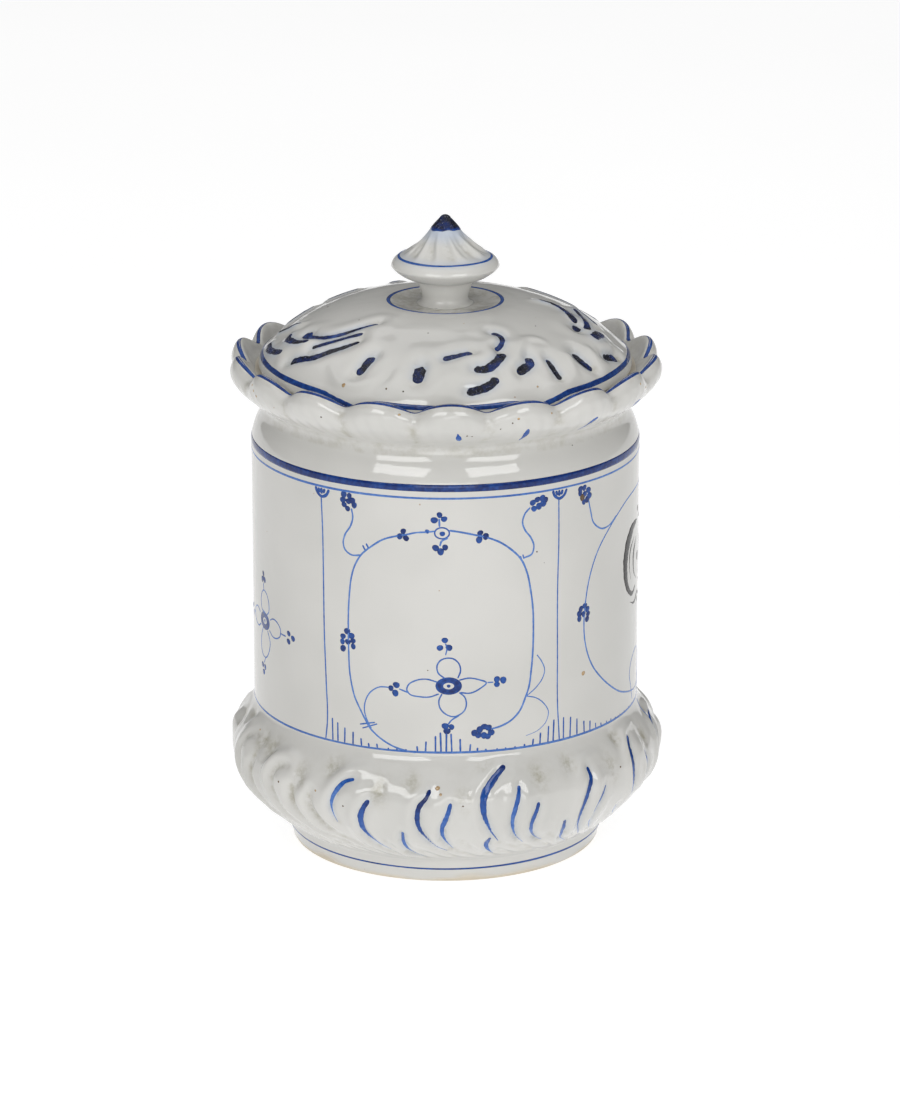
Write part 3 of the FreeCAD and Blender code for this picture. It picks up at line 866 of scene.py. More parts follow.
# Strokes on the lid as azimuth and radius, with the width, how dark they are and the width's share at
# the two ends.
LID_STROKES = [
    ([(-94, 53), (-90.5, 50.4), (-87, 47.6), (-84.5, 45.6)], 1.25, 1.0, 1.1, 0.4),
    ([(-79.5, 49.5), (-77.5, 50.8), (-73, 50.6), (-68.5, 50), (-62.3, 48)], 1.9, 0.9, 1.0, 0.8),
    ([(-88, 56), (-82.7, 56.3), (-75, 55.3), (-70.3, 54.3)], 1.9, 0.9, 1.0, 0.8),
    ([(-69.3, 45.3), (-71.4, 46.3), (-65.5, 45.7), (-59.5, 44.2), (-54.4, 41.5), (-50, 37.8),
      (-43.2, 31)], 1.5, 0.84, 1.5, 0.6),
    ([(-58.6, 49), (-54.6, 46), (-50, 42.7), (-42.7, 38)], 1.6, 0.90, 0.7, 0.8),
    ([(-101, 51.6), (-107, 48.1), (-112, 45.4)], 1.1, 1.05, 0.8, 0.8),
    ([(-117, 42.4), (-124, 39.6), (-131, 36.9)], 1.2, 1.05, 0.8, 0.8),
    ([(-63, 55), (-58.6, 53), (-53.7, 51.2), (-49.3, 48), (-44.8, 45), (-40.4, 41.5)], 1.95, 0.95, 1.0, 0.6),
    ([(-28.6, 46.2), (-29.8, 48.3), (-30.4, 51), (-31.2, 53)], 2.1, 0.93, 0.8, 1.0),
    ([(-8.5, 48.2), (-9.1, 50.8), (-9.3, 53.8)], 2.7, 0.95, 0.6, 1.1),
    ([(-0.8, 46.2), (2.8, 45), (6.6, 44.3), (11.2, 43.7)], 1.6, 0.90, 1.0, 1.0),
    ([(24.6, 34.6), (27.2, 35.7), (27.4, 38.6), (24.8, 41.3), (21.2, 43)], 1.3, 0.88, 1.0, 0.8),
    ([(10.3, 49.8), (13.4, 50.2), (17.2, 49.2), (20.7, 47.2), (23.9, 44.4)], 2.1, 0.94, 0.9, 1.0),
    ([(6.8, 56.7), (9.5, 56.3), (12.6, 55.7), (15.4, 54.6), (17.7, 53)], 2.1, 0.94, 0.9, 1.0),
    ([(32.6, 47.5), (32.2, 49.6), (28.8, 51), (25.5, 52.3)], 2.1, 0.92, 1.0, 1.0),
    ([(40, 49.3), (39.8, 51.9), (39.9, 53.9), (40.2, 56)], 1.7, 0.90, 0.8, 1.0),
    ([(54.3, 49.6), (54, 52), (54.6, 54), (56, 56)], 2.1, 0.90, 0.8, 1.0),
    ([(67.3, 54.5), (71, 55.6), (74.4, 56.8)], 2.1, 0.90, 0.9, 1.0),
    ([(95.2, 29.7), (94.2, 34), (88.6, 37.4), (80, 40.3), (76.9, 42.2)], 2.1, 0.9, 0.4, 1.1),
    ([(97.5, 41.3), (86.4, 43.8), (80.3, 45.2), (75, 46.4)], 1.6, 0.9, 0.6, 1.1),
    ([(75.8, 43.2), (71.4, 43.7)], 2.3, 1.0, 0.9, 0.9),
    ([(70.6, 49), (77, 49.4), (81, 50.3)], 2.5, 0.95, 1.0, 0.9),
    ([(102, 41.5), (94.5, 45), (89, 48.2)], 0.8, 0.85, 1.0, 1.0),
]
LID_RIDGES = [
    [(-42, 52.8), (-38, 55.6), (-29.2, 56.4), (-23, 53.6), (-22.8, 49)],
    [(7.2, 49.5), (7.6, 46.6), (12, 46.4), (17, 45.4), (19.6, 43.6), (21.4, 40)],
    [(25, 49), (30, 45.5), (37, 41), (44, 42), (47.6, 46)],
    [(32, 54), (34, 57.2), (40, 57.8), (46, 56.5)],
    [(46.5, 56), (48, 52), (50.5, 48.6)],
    [(59.5, 55.8), (61, 52), (61.4, 48.5)],
    [(-21, 57), (-16.5, 54), (-16, 49.5)],
    [(-3, 55.5), (1, 52), (6, 51.2)],
    [(-80, 53.3), (-72, 52.8), (-64, 51.6)],
    [(-95, 45.5), (-86, 47.4), (-80, 46.6)],
    [(66, 51.6), (72, 52.6), (78, 54)],
]


def is_side(path):
    """Whether a path on the lid lies at the sides or the back."""
    return max(abs(a) for a, _ in path) > SIDE_STROKES


def front_and_back(path):
    """The path, and the same half a turn on if it stays near enough to the front."""
    if max(abs(a) for a, _ in path) < BACK_COPY_LIMIT:
        return [path, [(a + 180, r) for a, r in path]]
    return [path]


def lid_relief(across, up, flat):
    """Dimples under the front's strokes, rolls under the others, and ridges between them."""
    relief = Relief(across, up)
    for front, width, *_ in LID_STROKES:
        for path in front_and_back(front):
            if is_side(path):
                relief.ridge(flat(path), 0.8, 1.2 + 0.5 * width, head=0, tail=0)
            else:
                depth, side = 0.45 + 0.30 * width, 0.26 * width
                relief.groove(flat(path), depth, 1.2 + 0.6 * width, side, side, head=0, tail=0)
            relief.halo(flat(path), 0.9 + 0.55 * width)
    for front in LID_RIDGES:
        for path in front_and_back(front):
            relief.ridge(flat(path), 0.6 if is_side(path) else 1.1, 1.6, head=0.35, tail=0.35)
    for half_turn in (0, 180):
        step = [(half_turn - 38, 33.5), (half_turn - 20, 31.5), (half_turn - 4, 31.5), (half_turn + 9, 33)]
        relief.ridge(flat(step), 0.22, 2.6, head=0.3, tail=0.3)
    return relief


def make_lid():
    azimuth = np.arange(LID_COLUMNS) * 360 / LID_COLUMNS
    under = [(8, 174.2), (14, 174.2)]
    under += arc((20, 174.2), (49.7, 162.4), -52, 8)
    under += [(49.7, 162.4), (49.7, 155), (49.7, 148.4), (50.2, 147.7), (51.4, 147.6), (52.6, 147.7),
              (53.2, 148.4), (53.2, 153), (53.2, 156.9), (53.7, 157.6), (56, 157.6), (58.9, 157.6)]
    edge = [(59.5, 157.9)] + arc((59.7, 158.4), DOME_EDGE, 5.0, 6)
    dome = arc(DOME_EDGE, (RING_RADIUS, 179.3), 58.4, 58)
    well = [(RING_RADIUS, 179.3), (17.4, 179.22), (16.2, 178.95), (14.8, 178.6), (13, 178.38), (11.4, 178.35),
            (10.2, 178.4), (8.5, 178.4), (4, 178.4)]
    outline = np.array(under + edge + dome + well)
    grid = turn_round(outline[:, :1], outline[:, 1:], LID_COLUMNS)
    marks = blank_marks(grid)
    ring_row = len(under + edge + dome)
    upper = slice(len(under), ring_row + 6)
    radius = outline[upper, 0]
    # The tiny steps keep the marks of two rows of one radius apart.
    places = -radius + 0.001 * np.arange(len(radius))
    top = Skin(grid[upper], places, polar=True)
    run = np.empty(len(radius))
    run[top.rows] = top.runs
    angle = np.radians(azimuth)
    across, up = run[:, None] * np.sin(angle), -run[:, None] * np.cos(angle)
    relief = lid_relief(across, up, lambda path: top.flat_path([(a, -r) for a, r in path]))
    keep = (ease((59.4 - radius) / 2.2) * ease((radius - 20) / 4))[:, None]
    turn = angle + 0.3
    height = soften(relief.height, 1, 1.7) * keep
    height += (0.12 * np.sin(2 * turn) + 0.08 * np.sin(5 * turn)) * keep
    grid[upper] += top.normals * height[..., None]
    # Painted shade and dirt: darker in the dimples and lighter on the rolls and ridges, and stronger at the
    # sides than at the front and the back.
    side_weight = 0.45 + 0.75 * np.abs(np.sin(angle)) ** 2
    marks["hollow"][upper] = np.clip((relief.hollow - 0.6 * relief.height) * side_weight, 0, 1) * keep
    # Painted shade and dirt in the shallow well round the knob.
    marks["hollow"][ring_row + 1:ring_row + 8] = 0.75
    marks["bleed"][upper] = relief.near_paint
    marks["bare"][len(under) - 4:len(under)] = 0.6
    lid = closed_turning("lid_porcelain", grid, marks, under[0][1], well[-1][1])
    lid.data.materials.append(LID_GLAZE)
    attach(lid, "lid")
    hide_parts("lid")
    return Skin(grid[upper], places, polar=True)


# ---------------------------------------------------------------- the knob

KNOB_COLUMNS = 216
KNOB_FOOT = 178.4
KNOB_TIP = 207
DISC_TOP = (15.1, 193.6)
CAP_BASE = 202.3


def make_knob():
    azimuth = np.arange(KNOB_COLUMNS) * 360 / KNOB_COLUMNS
    waist, disc_foot = (7.4, 180.6), (9.4, 186.2)
    stem = [(5, KNOB_FOOT)] + arc((9.2, KNOB_FOOT), waist, -2.4, 8) + arc(waist, disc_foot, -22, 8)
    disc = arc(disc_foot, (17.3, 190.7), 12, 14) + arc((17.3, 190.7), DISC_TOP, 4, 12)
    cone = arc(DISC_TOP, (4.7, 202.6), -22, 28)
    # The tip's radius, from its height and its half width, so that it ends level at the axis.
    tip_bend = (1.1 ** 2 + 1.8 ** 2) / (2 * 1.1)
    cap = arc((4.7, 202.6), (1.8, 205.9), 40, 8) + arc((1.8, 205.9), (0, KNOB_TIP), tip_bend, 6)
    outline = np.array(stem + disc + cone + cap)
    grid = turn_round(outline[:, :1], outline[:, 1:], KNOB_COLUMNS)
    marks = blank_marks(grid)
    first = len(stem + disc)
    z = outline[:, 1:]
    turn = np.radians(azimuth)
    # Slanting flutes on the cone, of uneven depth, and fine reeds round the edge of the disc.
    swell = ease((z - 193.9) / 1.8) * ease((202.6 - z) / 4.5)
    phase = 10 * turn + 0.42 * (z - DISC_TOP[1]) + 0.6 * np.sin(2 * turn + 1) + 0.6
    flute = np.cos(phase) + 0.35 * np.cos(2 * phase + 0.8)
    height = flute * (0.34 + 0.16 * np.sin(turn + 0.6)) * swell
    height = height + 0.10 * np.sin(2 * turn + 0.4) * ease((z - 186) / 4) * ease((205 - z) / 6)
    reeds = 0.035 * np.cos(72 * turn) * ease((z - 188.2) / 1.2) * ease((191.6 - z) / 1.4)
    normals = grid_normals(grid)
    grid[first:] += (normals * height[..., None])[first:]
    grid[len(stem):first] += (normals * reeds[..., None])[len(stem):first]
    # Painted shade and dirt in the flutes' hollows and round the foot, where the knob meets the lid.
    marks["hollow"] += np.clip(-flute * 0.55, 0, 1) * swell + 0.12 * ease((180.6 - z) / 2)
    marks["bleed"] += 0.9 * ease((z - 197.5) / 4.5) + 0.5 * np.exp(-((z - 193.9) / 0.9) ** 2)
    knob = closed_turning("knob_porcelain", grid, marks, KNOB_FOOT, KNOB_TIP)
    knob.data.materials.append(KNOB_GLAZE)
    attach(knob, "lid")
    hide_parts("lid_knob")

    cap_row = first + int(np.searchsorted(outline[first:, 1], CAP_BASE))
    skin = Skin(grid[first - 4:], outline[first - 4:, 1], spread=KNOB_SPREAD)
    return skin, grid[cap_row:], normals[cap_row:]


wall_skin, base_skin, frill_skin = make_jar()
lid_skin = make_lid()
knob_skin, cap_grid, cap_normals = make_knob()


# ---------------------------------------------------------------- painting on the wall

# The width and the darkness of a plain pen line.
PEN = 0.58
PEN_INK = 0.34
# The azimuths about which the lone flower and the two halves of the label panel are mirrored, and the
# label's own middle.
LONE_FLOWER = -68.2
LABEL_MIDDLE = 79.7
ORNAMENT_MIDDLE = 81.5
# How far round the main panel and the lone flower are moved to be drawn again at the back.
BACK_PANEL_TURN = 163.6
BACK_FLOWER_TURN = 298.2


def mirrored(path, middle):
    """The path turned over about the azimuth of its middle line."""
    return [(2 * middle - a, z) for a, z in path]


class Painter:
    """Draws the wall's motifs with one brush, each moved round by the painter's own turn."""

    def __init__(self, brush, turn=0, mirror=None):
        self.brush, self.turn, self.mirror = brush, turn, mirror

    def place(self, path):
        if self.mirror is not None:
            path = mirrored(path, self.mirror)
        return [(a + self.turn, z) for a, z in path]

    def line(self, path, width=PEN, ink=PEN_INK, **shape):
        width *= chance.uniform(1.06, 1.24)
        self.brush.stroke(self.place(path), width, ink, **shape)

    def loop(self, path, width, ink):
        self.brush.stroke(self.place(path), width, ink, closed=True)

    def berries(self, places, **look):
        self.brush.berries(self.place(places), **look)


def fan(painter, middle):
    """The small fan where a divider meets the line under the band."""
    cup = [(-2.4, 131.4), (-1.7, 129.6), (0, 128.5), (1.5, 129.2), (2.6, 131.2)]
    painter.line([(middle + a, z) for a, z in cup], 1.0, 0.56)
    ribs = [[(-1.3, 131.2), (-0.8, 129.6)], [(-0.2, 131.3), (-0.1, 129.3)], [(1, 131.2), (0.6, 129.6)]]
    for rib in ribs:
        painter.line([(middle + a, z) for a, z in rib], 0.95, 0.60)


# The lines between the panels, as each line's top azimuth at its fan and its path down the wall.
DIVIDERS = [
    (-38, [(-38.3, 128.6), (-37.9, 119), (-37.7, 104), (-37.5, 82), (-37, 68), (-36.7, 54), (-37.3, 48.4)]),
    (34.8, [(34.5, 128.2), (34.6, 115), (34.3, 100), (34.4, 77), (34.6, 60), (35.2, 50.4), (35.3, 48.3)]),
    (125.2, [(125.2, 128.4), (125, 110), (125.3, 90), (125, 70), (124.8, 55), (125, 48.4)]),
    (199, [(199, 128.4), (199.2, 112), (199, 92), (199.4, 70), (199.1, 56), (199, 48.4)]),
    (261, [(261, 128.4), (261.3, 108), (261, 88), (260.8, 66), (261, 55), (261.2, 48.4)]),
]


def cartouche(painter):
    """The framed flower of a main panel, drawn about the front panel's azimuths."""
    painter.berries([(-30.3, 130.6), (-28.5, 130.4), (-30.6, 128.8), (-27.6, 129), (-26.9, 127.6),
                     (-30.2, 127.3), (-29.1, 126.2), (-28.8, 128.6)])
    painter.line([(-27.8, 126.4), (-27.4, 123.4), (-28.1, 120.8), (-30, 117.5), (-30.6, 114.8), (-30, 112.7),
                  (-28.3, 111.4), (-24.8, 111.6)])
    painter.line([(-24.3, 115), (-23.4, 113.3)], 0.55, 0.5)
    painter.line([(-23.2, 115.7), (-22.3, 114)], 0.55, 0.5)
    painter.line([(-3, 121.2), (-5.3, 120.9), (-8.7, 120.5), (-11, 119.8), (-14, 119.1), (-18, 117.6),
                  (-21.5, 115), (-24.6, 112), (-26.7, 108.3), (-28, 103.8), (-28.6, 98.8), (-29, 93),
                  (-29.1, 86.7), (-29, 79), (-28.8, 73.5), (-28, 68), (-27.1, 64.5), (-26, 62), (-24, 58),
                  (-22.5, 55.2), (-20.4, 53), (-17.7, 51), (-15, 49.6), (-11.6, 48.6), (-8.5, 48.1)])
    painter.berries([(-12, 120.8), (-13, 119.1), (-11.2, 118.6)])
    painter.berries([(-29.5, 85.9), (-30.9, 84), (-28.1, 84.6), (-31.1, 82.2), (-27.6, 83), (-30.9, 80),
                     (-27.5, 81.2), (-29.3, 82.4)])
    eye(painter, -0.9, 120.6)
    painter.berries([(-5.1, 121.1)], radius=0.7, ink=0.58)
    painter.line([(-1.6, 122.6), (-1.7, 125.3)])
    painter.berries([(-1.6, 126.5), (-3.1, 124.8), (-0.3, 125.2)])
    painter.line([(0.8, 119), (-1, 118), (-1.5, 116.4)])
    painter.berries([(-2.7, 115.8), (0, 116), (-1.3, 114.6)])
    painter.line([(1.2, 121.5), (4.8, 120.8), (9, 119.7), (12, 118.8), (16, 116.8), (19.4, 114), (22, 111),
                  (24.1, 106), (25.2, 100.5), (26, 94), (26.2, 86.6), (26, 79), (25.5, 73), (24.8, 68),
                  (23.8, 65), (22, 60.7), (19.5, 58), (16.7, 56.5), (13.4, 55.6)])
    painter.berries([(10, 120.4), (11.6, 119.2), (9.7, 118.2)])
    painter.berries([(8.4, 54.7), (9.6, 53.8), (10, 55.7), (11.3, 56.6), (12.5, 56.2), (13.4, 54.5),
                     (11.2, 53.7), (12.3, 53.3)])
    painter.berries([(25.8, 128.6), (27.3, 129.4), (28.9, 129.6), (30, 128.9), (29.2, 127.8), (27.8, 127.2),
                     (26.2, 126.6)])
    painter.line([(25, 127.2), (23.3, 125.3), (22.6, 122.5), (23.4, 120), (25.3, 117.2), (26.2, 114.4),
                  (25.6, 112), (23, 111)])
    painter.line([(21.9, 111.8), (22.4, 110.2)], 0.5, 0.45)
    painter.line([(22.7, 112.2), (23.1, 110.7)], 0.5, 0.45)
    painter.line([(27.4, 78.5), (29, 76), (30, 72.8), (29.2, 70.2), (27.3, 67.8), (24.1, 65.3)], 0.4, 0.32)
    painter.line([(24, 65.3), (27, 64.3), (29.7, 62), (31.4, 58.7), (30.6, 55.6), (28.2, 53.4),
                  (24, 52)], 0.4, 0.32, tail=0.5)
    flower(painter)
    painter.line([(-16.3, 69.2), (-19.2, 69), (-22, 67), (-23.6, 64), (-24, 60.4), (-23, 57),
                  (-21.8, 54.8)], 0.42, 0.34)
    painter.line([(-25.5, 55.7), (-20.7, 57)], 0.45, 0.45)
    painter.line([(-24.7, 54.5), (-20, 56.6)], 0.45, 0.45)


def oval(middle, width, height, count=16):
    """Points round an oval, its width in degrees and its height in millimetres."""
    turns = [2 * math.pi * k / count for k in range(count)]
    return [(middle[0] + width * math.cos(t), middle[1] + height * math.sin(t)) for t in turns]


def eye(painter, a, z):
    painter.loop(oval((a, z), 2.1, 1.8), 0.55, 0.52)
    painter.berries([(a + 0.1, z - 0.2)], radius=0.85, ink=0.62)


def flower_heart(painter, a, z):
    """The dark oval in the middle of a flower, with its white ring and centre dot."""
    hoops = [(1.95, 1.5, 0.95, 0.64), (2.75, 2.05, 1.05, 0.68), (3.45, 2.5, 0.9, 0.62)]
    for width, height, line, ink in hoops:
        painter.loop(oval((a, z), width, height, 20), line, ink)
    painter.berries([(a, z)], radius=0.68, ink=0.6)


def flower(painter):
    """Four petals about a dark heart, with a berry sprig on each side."""
    petals = [
        [(0, 72.9), (-2.1, 75), (-2.3, 77.3), (-1.3, 79), (0.3, 79.7), (2.3, 79.5), (3.9, 77.9),
         (4.4, 75.6), (3.6, 73)],
        [(4, 72.4), (6.8, 73), (9.5, 72.4), (11.9, 71.1), (10.1, 69.4), (7.1, 68), (4.3, 68.3)],
        [(-0.9, 67.9), (-1.8, 65.7), (-1.5, 63.2), (0.1, 61.2), (2.5, 60.3), (4.1, 60.9), (5.6, 62.4),
         (6.1, 64.7), (5.5, 66.9), (4, 68.3)],
        [(-2.3, 71.8), (-5.6, 72.7), (-8.5, 72.1), (-10.7, 70.4), (-11.1, 68.8), (-10.4, 67.6), (-7.5, 66.8),
         (-4.6, 66.8), (-1.8, 67.9)],
    ]
    for petal in petals:
        painter.line(petal, 0.48, 0.42)
    flower_heart(painter, 1.0, 70.5)
    sprigs = [
        ([(12.2, 71.2), (14, 71.2)], [(15, 72), (16.9, 71.6), (15, 70.3)]),
        ([(4, 60.7), (1.7, 59), (0.8, 57.7)], [(0, 57.2), (1.8, 56.9), (0.5, 55.5)]),
        ([(-10.6, 67.9), (-13.4, 69)], [(-15.8, 69), (-14.2, 70.2), (-14.5, 67.5)]),
        ([(0.1, 80.7), (0.5, 83), (0.1, 84.6)], [(-0.1, 85.6), (-1.5, 83.1), (1.1, 83.2)]),
    ]
    for stem, berries in sprigs:
        painter.line(stem, 0.46, 0.42)
        painter.berries(berries)


def lone_flower(painter):
    """The larger flower that fills a side panel."""
    top = [(-67.6, 81.8), (-70.6, 82.4), (-71.4, 85), (-70.4, 88), (-68.7, 89.2), (-66.6, 88.6),
           (-64.9, 86.2), (-64.9, 83), (-66.6, 81.4)]
    right = [(-64, 80.6), (-62, 81.6), (-59.4, 81.3), (-57.4, 79.5), (-57.6, 77.2), (-59.6, 75.8),
             (-62.3, 75.6), (-64.6, 77)]
    bottom = [(-69.6, 76.6), (-71.4, 72.4), (-71, 68.5), (-69.4, 66.9), (-67.6, 66.8), (-65, 69.4),
              (-64.1, 73), (-66, 76.4)]
    for petal in (top, right, bottom, mirrored(right, LONE_FLOWER)):
        painter.line(petal, 0.5, 0.42)
    flower_heart(painter, LONE_FLOWER, 79)
    stem, berries = [(-57.1, 78.2), (-54.4, 78.1)], [(-52.9, 79.5), (-50.8, 78.4), (-53, 76.8)]
    painter.line(stem, 0.46, 0.42)
    painter.berries(berries, radius=1.05)
    painter.line(mirrored(stem, LONE_FLOWER), 0.46, 0.42)
    painter.berries(mirrored(berries, LONE_FLOWER), radius=1.05)
    painter.line([(-68.7, 89.2), (-69.2, 91.6)], 0.46, 0.42)
    painter.berries([(-69.9, 92.6), (-68.1, 92.8), (-69.1, 94.6)], radius=1.05)
    painter.line([(-67.6, 66.8), (-69, 64.6)], 0.46, 0.42)
    painter.berries([(-70.3, 63.6), (-68.2, 63.4), (-69.3, 61.4)], radius=1.05)


def label_panel(painter):
    """The left half of the label panel: its cluster, its frame and the loop at the foot of it."""
    painter.berries([(42.6, 129.9), (44.2, 130), (45.9, 128.9), (46.3, 127), (42.5, 128.6), (45.4, 126),
                     (44, 125.4), (44.4, 128)])
    painter.line([(46, 125.4), (47.1, 121), (48, 118), (49.6, 116.2), (52.4, 114.6), (55.8, 114.7),
                  (60, 116.8)])
    painter.line([(79.6, 121), (74, 120.8), (68.2, 120), (60, 116.5), (55.4, 113.2), (50.5, 108), (48, 103.4),
                  (46, 97.3), (45, 91.5), (44.5, 85.6), (44.7, 81), (46, 75.2), (48.4, 70), (52.5, 65),
                  (57, 61), (63.4, 56.8), (70.3, 54.3), (77.5, 52.7), (79.6, 52.5)])
    painter.berries([(44.8, 91), (43.2, 90.3), (45.9, 89.6), (42.6, 88.8), (46.2, 88), (42.6, 87.2),
                     (45.8, 86.4), (44.3, 88.4)])
    painter.line([(79.6, 66.2), (76, 65.2), (73.2, 63.2), (71.7, 59.3), (73, 56), (75.3, 50)], 0.42, 0.36)


def label_ornament(brush, middle):
    """A plain pair of leaf scrolls about a bead, standing in for the jar's label."""
    leaves = [
        ([(-1.6, 109.5), (-8, 108.6), (-13, 104), (-14.6, 97), (-12.6, 90), (-7.4, 86.4),
          (-3.4, 88)], 5.0, 0.25, 0.25),
        ([(-6.2, 105), (-10.2, 101.6), (-11, 96.4), (-9.4, 91.6)], 1.1, 0.3, 0.3),
        ([(-2.6, 104.2), (-6.4, 99.6), (-6, 93.4), (-2.4, 89.8)], 1.9, 0.2, 0.2),
        ([(0, 84.6), (-5, 82.6), (-10, 84.2)], 1.2, 0.8, 0.2),
    ]
    for side in (1, -1):
        for leaf, width, head, tail in leaves:
            brush.stroke([(middle + side * a, z) for a, z in leaf], width, 0.9, head=head, tail=tail)
    for z, radius in ((96.8, 1.7), (112.6, 1.2), (82, 1.0)):
        brush.dot((middle, z), radius, 0.9)


# Blades of grass along the foot of the wall, as azimuth and height.
FRONT_GRASS = [(-34.7, 8.2), (-32.9, 7.1), (-30.6, 5.9), (-27.8, 5), (-25, 3.3), (-22.6, 2), (-20, 2.2),
               (-16.7, 1.1), (-14, 0.7), (-11.5, 0.6), (-8, 2.5), (-5.7, 4.2), (-2.8, 6.1), (-1.2, 7.3),
               (0.3, 7), (1.9, 6.9), (4.4, 5.1), (7.1, 3.2), (9.3, 1.9), (11.7, 1.4), (15.2, 1), (17.6, 1),
               (20.5, 1), (23.6, 1.6), (26.2, 2.9), (28.6, 4.5), (31.3, 6.2), (33.1, 8)]
LABEL_GRASS = [(36.8, 8), (39.3, 7.5), (42, 6.3), (45, 4.8), (47.5, 4.1), (50.2, 2.6), (52.8, 1.9),
               (55.6, 1.6), (58, 1.6), (60.7, 1.2), (64, 1.1), (67, 1), (71, 0.9), (74.7, 1.1), (78.4, 0.9)]


def grass(painter, blades):
    """Short strokes up from the lowest ring of the wall."""
    for azimuth, height in blades:
        lean = chance.uniform(-0.25, 0.25)
        low = WALL_BASE + 0.75
        high = max(WALL_BASE + height, low + 0.5)
        painter.line([(azimuth, low), (azimuth + lean, high)], 0.56, 0.50)


def paint_wall():
    brush = Brush(wall_skin)
    front = Painter(brush)
    for top, path in DIVIDERS:
        front.line(path, 0.5, 0.42)
        fan(front, top)
    cartouche(front)
    grass(front, FRONT_GRASS)
    grass(front, LABEL_GRASS)
    lone_flower(front)
    label_panel(front)
    far_label = Painter(brush, mirror=LABEL_MIDDLE)
    label_panel(far_label)
    grass(far_label, LABEL_GRASS[:-1])
    back = Painter(brush, BACK_PANEL_TURN)
    cartouche(back)
    grass(back, FRONT_GRASS)
    lone_flower(Painter(brush, BACK_FLOWER_TURN))
    brush.piece("wall_brushwork", "jar", "cobalt_blue", FINE_BLUE)

    label = Brush(wall_skin)
    label_ornament(label, ORNAMENT_MIDDLE)
    label.piece("label_ornament", "jar", "cobalt_blue", BLACK_ENAMEL)


RING_POINTS = 72
# The jar's rings from the top down: skin, mark, width, darkness, and how far each wavers.
JAR_RINGS = [
    (wall_skin, WALL_TOP, 2.4, 0.70, 0.06),
    (wall_skin, 131.8, 0.7, 0.36, 0.05),
    (wall_skin, 48.25, 0.7, 0.38, 0.05),
    (base_skin, 4.9, 0.62, 0.60, 0.05),
]


def ring(name, body, skin, mark, width, ink, waver):
    """A line right round that wavers a little in height."""
    brush = Brush(skin)
    phase = chance.uniform(0, 6)
    path = []
    for k in range(RING_POINTS):
        azimuth = 360 * k / RING_POINTS
        sway = math.sin(math.radians(2 * azimuth) + phase)
        sway += 0.6 * math.sin(math.radians(5 * azimuth) + 2 * phase)
        path.append((azimuth, mark + waver * sway))
    brush.stroke(path, width, ink, closed=True)
    brush.piece(name, body, "cobalt_blue", FINE_BLUE)


def paint_rings():
    for number, spec in enumerate(JAR_RINGS, 1):
        ring(f"jar_ring_{number}", "jar", *spec)


def paint_base():
    brush = Brush(base_skin, lift=1.4)
    for path, width, ink in ALL_BASE_STROKES:
        brush.stroke(path, width * 1.04, ink - 0.02, head=0.75, tail=0.16, fade=0.32)
    brush.stroke([(83.8, 47), (82.8, 42.8), (82, 39), (81, 34.4), (80, 31)], 0.45, 0.35, tail=0.5)
    brush.piece("base_brushwork", "jar", "cobalt_blue", FINE_BLUE)


FRILL_LINE = 10.65
# Teardrops under the frill, each from its round end, as azimuth and height.
TEARDROPS = [
    [(3.9, 150.7), (3.6, 152.2), (3.3, 154)], [(22.2, 154.2), (22.3, 152), (21.7, 149)],
    [(44.8, 153.9), (43.4, 151.8), (41.5, 149.3)], [(64.9, 154.4), (64.2, 152.8), (63, 151)],
    [(163, 153.6), (163.3, 151.6), (164, 149.6)], [(184, 154), (183.6, 151.8), (182.6, 149.4)],
    [(205, 153.8), (204, 151.8), (202.6, 149.6)],
]


def paint_frill():
    """The line along the lip and a few teardrops under it."""
    brush = Brush(frill_skin)
    count = PETALS * 20
    lip = [(FIRST_CREST + 360 * k / count, FRILL_LINE) for k in range(count)]
    brush.stroke(lip, 1.55, 0.66, closed=True)
    heights = [z for _, z in CREST[:7]]
    for path in TEARDROPS:
        placed = [(a, float(np.interp(z, heights, range(7)))) for a, z in path]
        brush.stroke(placed, 2.2, 0.50, head=0.75, tail=0.3)
    brush.piece("frill_line", "jar", "cobalt_blue", FINE_BLUE)


# The lid's lines: radius, width, darkness, and how far each dips towards the front and the back.
LID_LINES = [("lid_edge_line", 59.68, 1.95, 0.66, 0.95), ("lid_ring_line", 18.2, 1.35, 0.56, 0.1)]


def paint_lid():
    brush = Brush(lid_skin, lift=1.8)
    for front, width, ink, head, tail in LID_STROKES:
        for path in front_and_back(front):
            brush.stroke([(a, -r) for a, r in path], width * 1.5, ink - 0.06, head=head, tail=tail)
    brush.piece("lid_brushwork", "lid", "cobalt_blue", THICK_BLUE)
    turns = [math.radians(4 * k) for k in range(90)]
    for name, radius, width, ink, dip in LID_LINES:
        line = Brush(lid_skin)
        path = [(math.degrees(turn), dip * math.sin(turn) ** 2 - radius) for turn in turns]
        line.stroke(path, width, ink, closed=True)
        line.piece(name, "lid", "cobalt_blue", FINE_BLUE)


# How much wider the knob's cone gets for each millimetre down at the edge of its painted cap.
CAP_SLOPE = 0.8
CAP_LIFT = 0.08


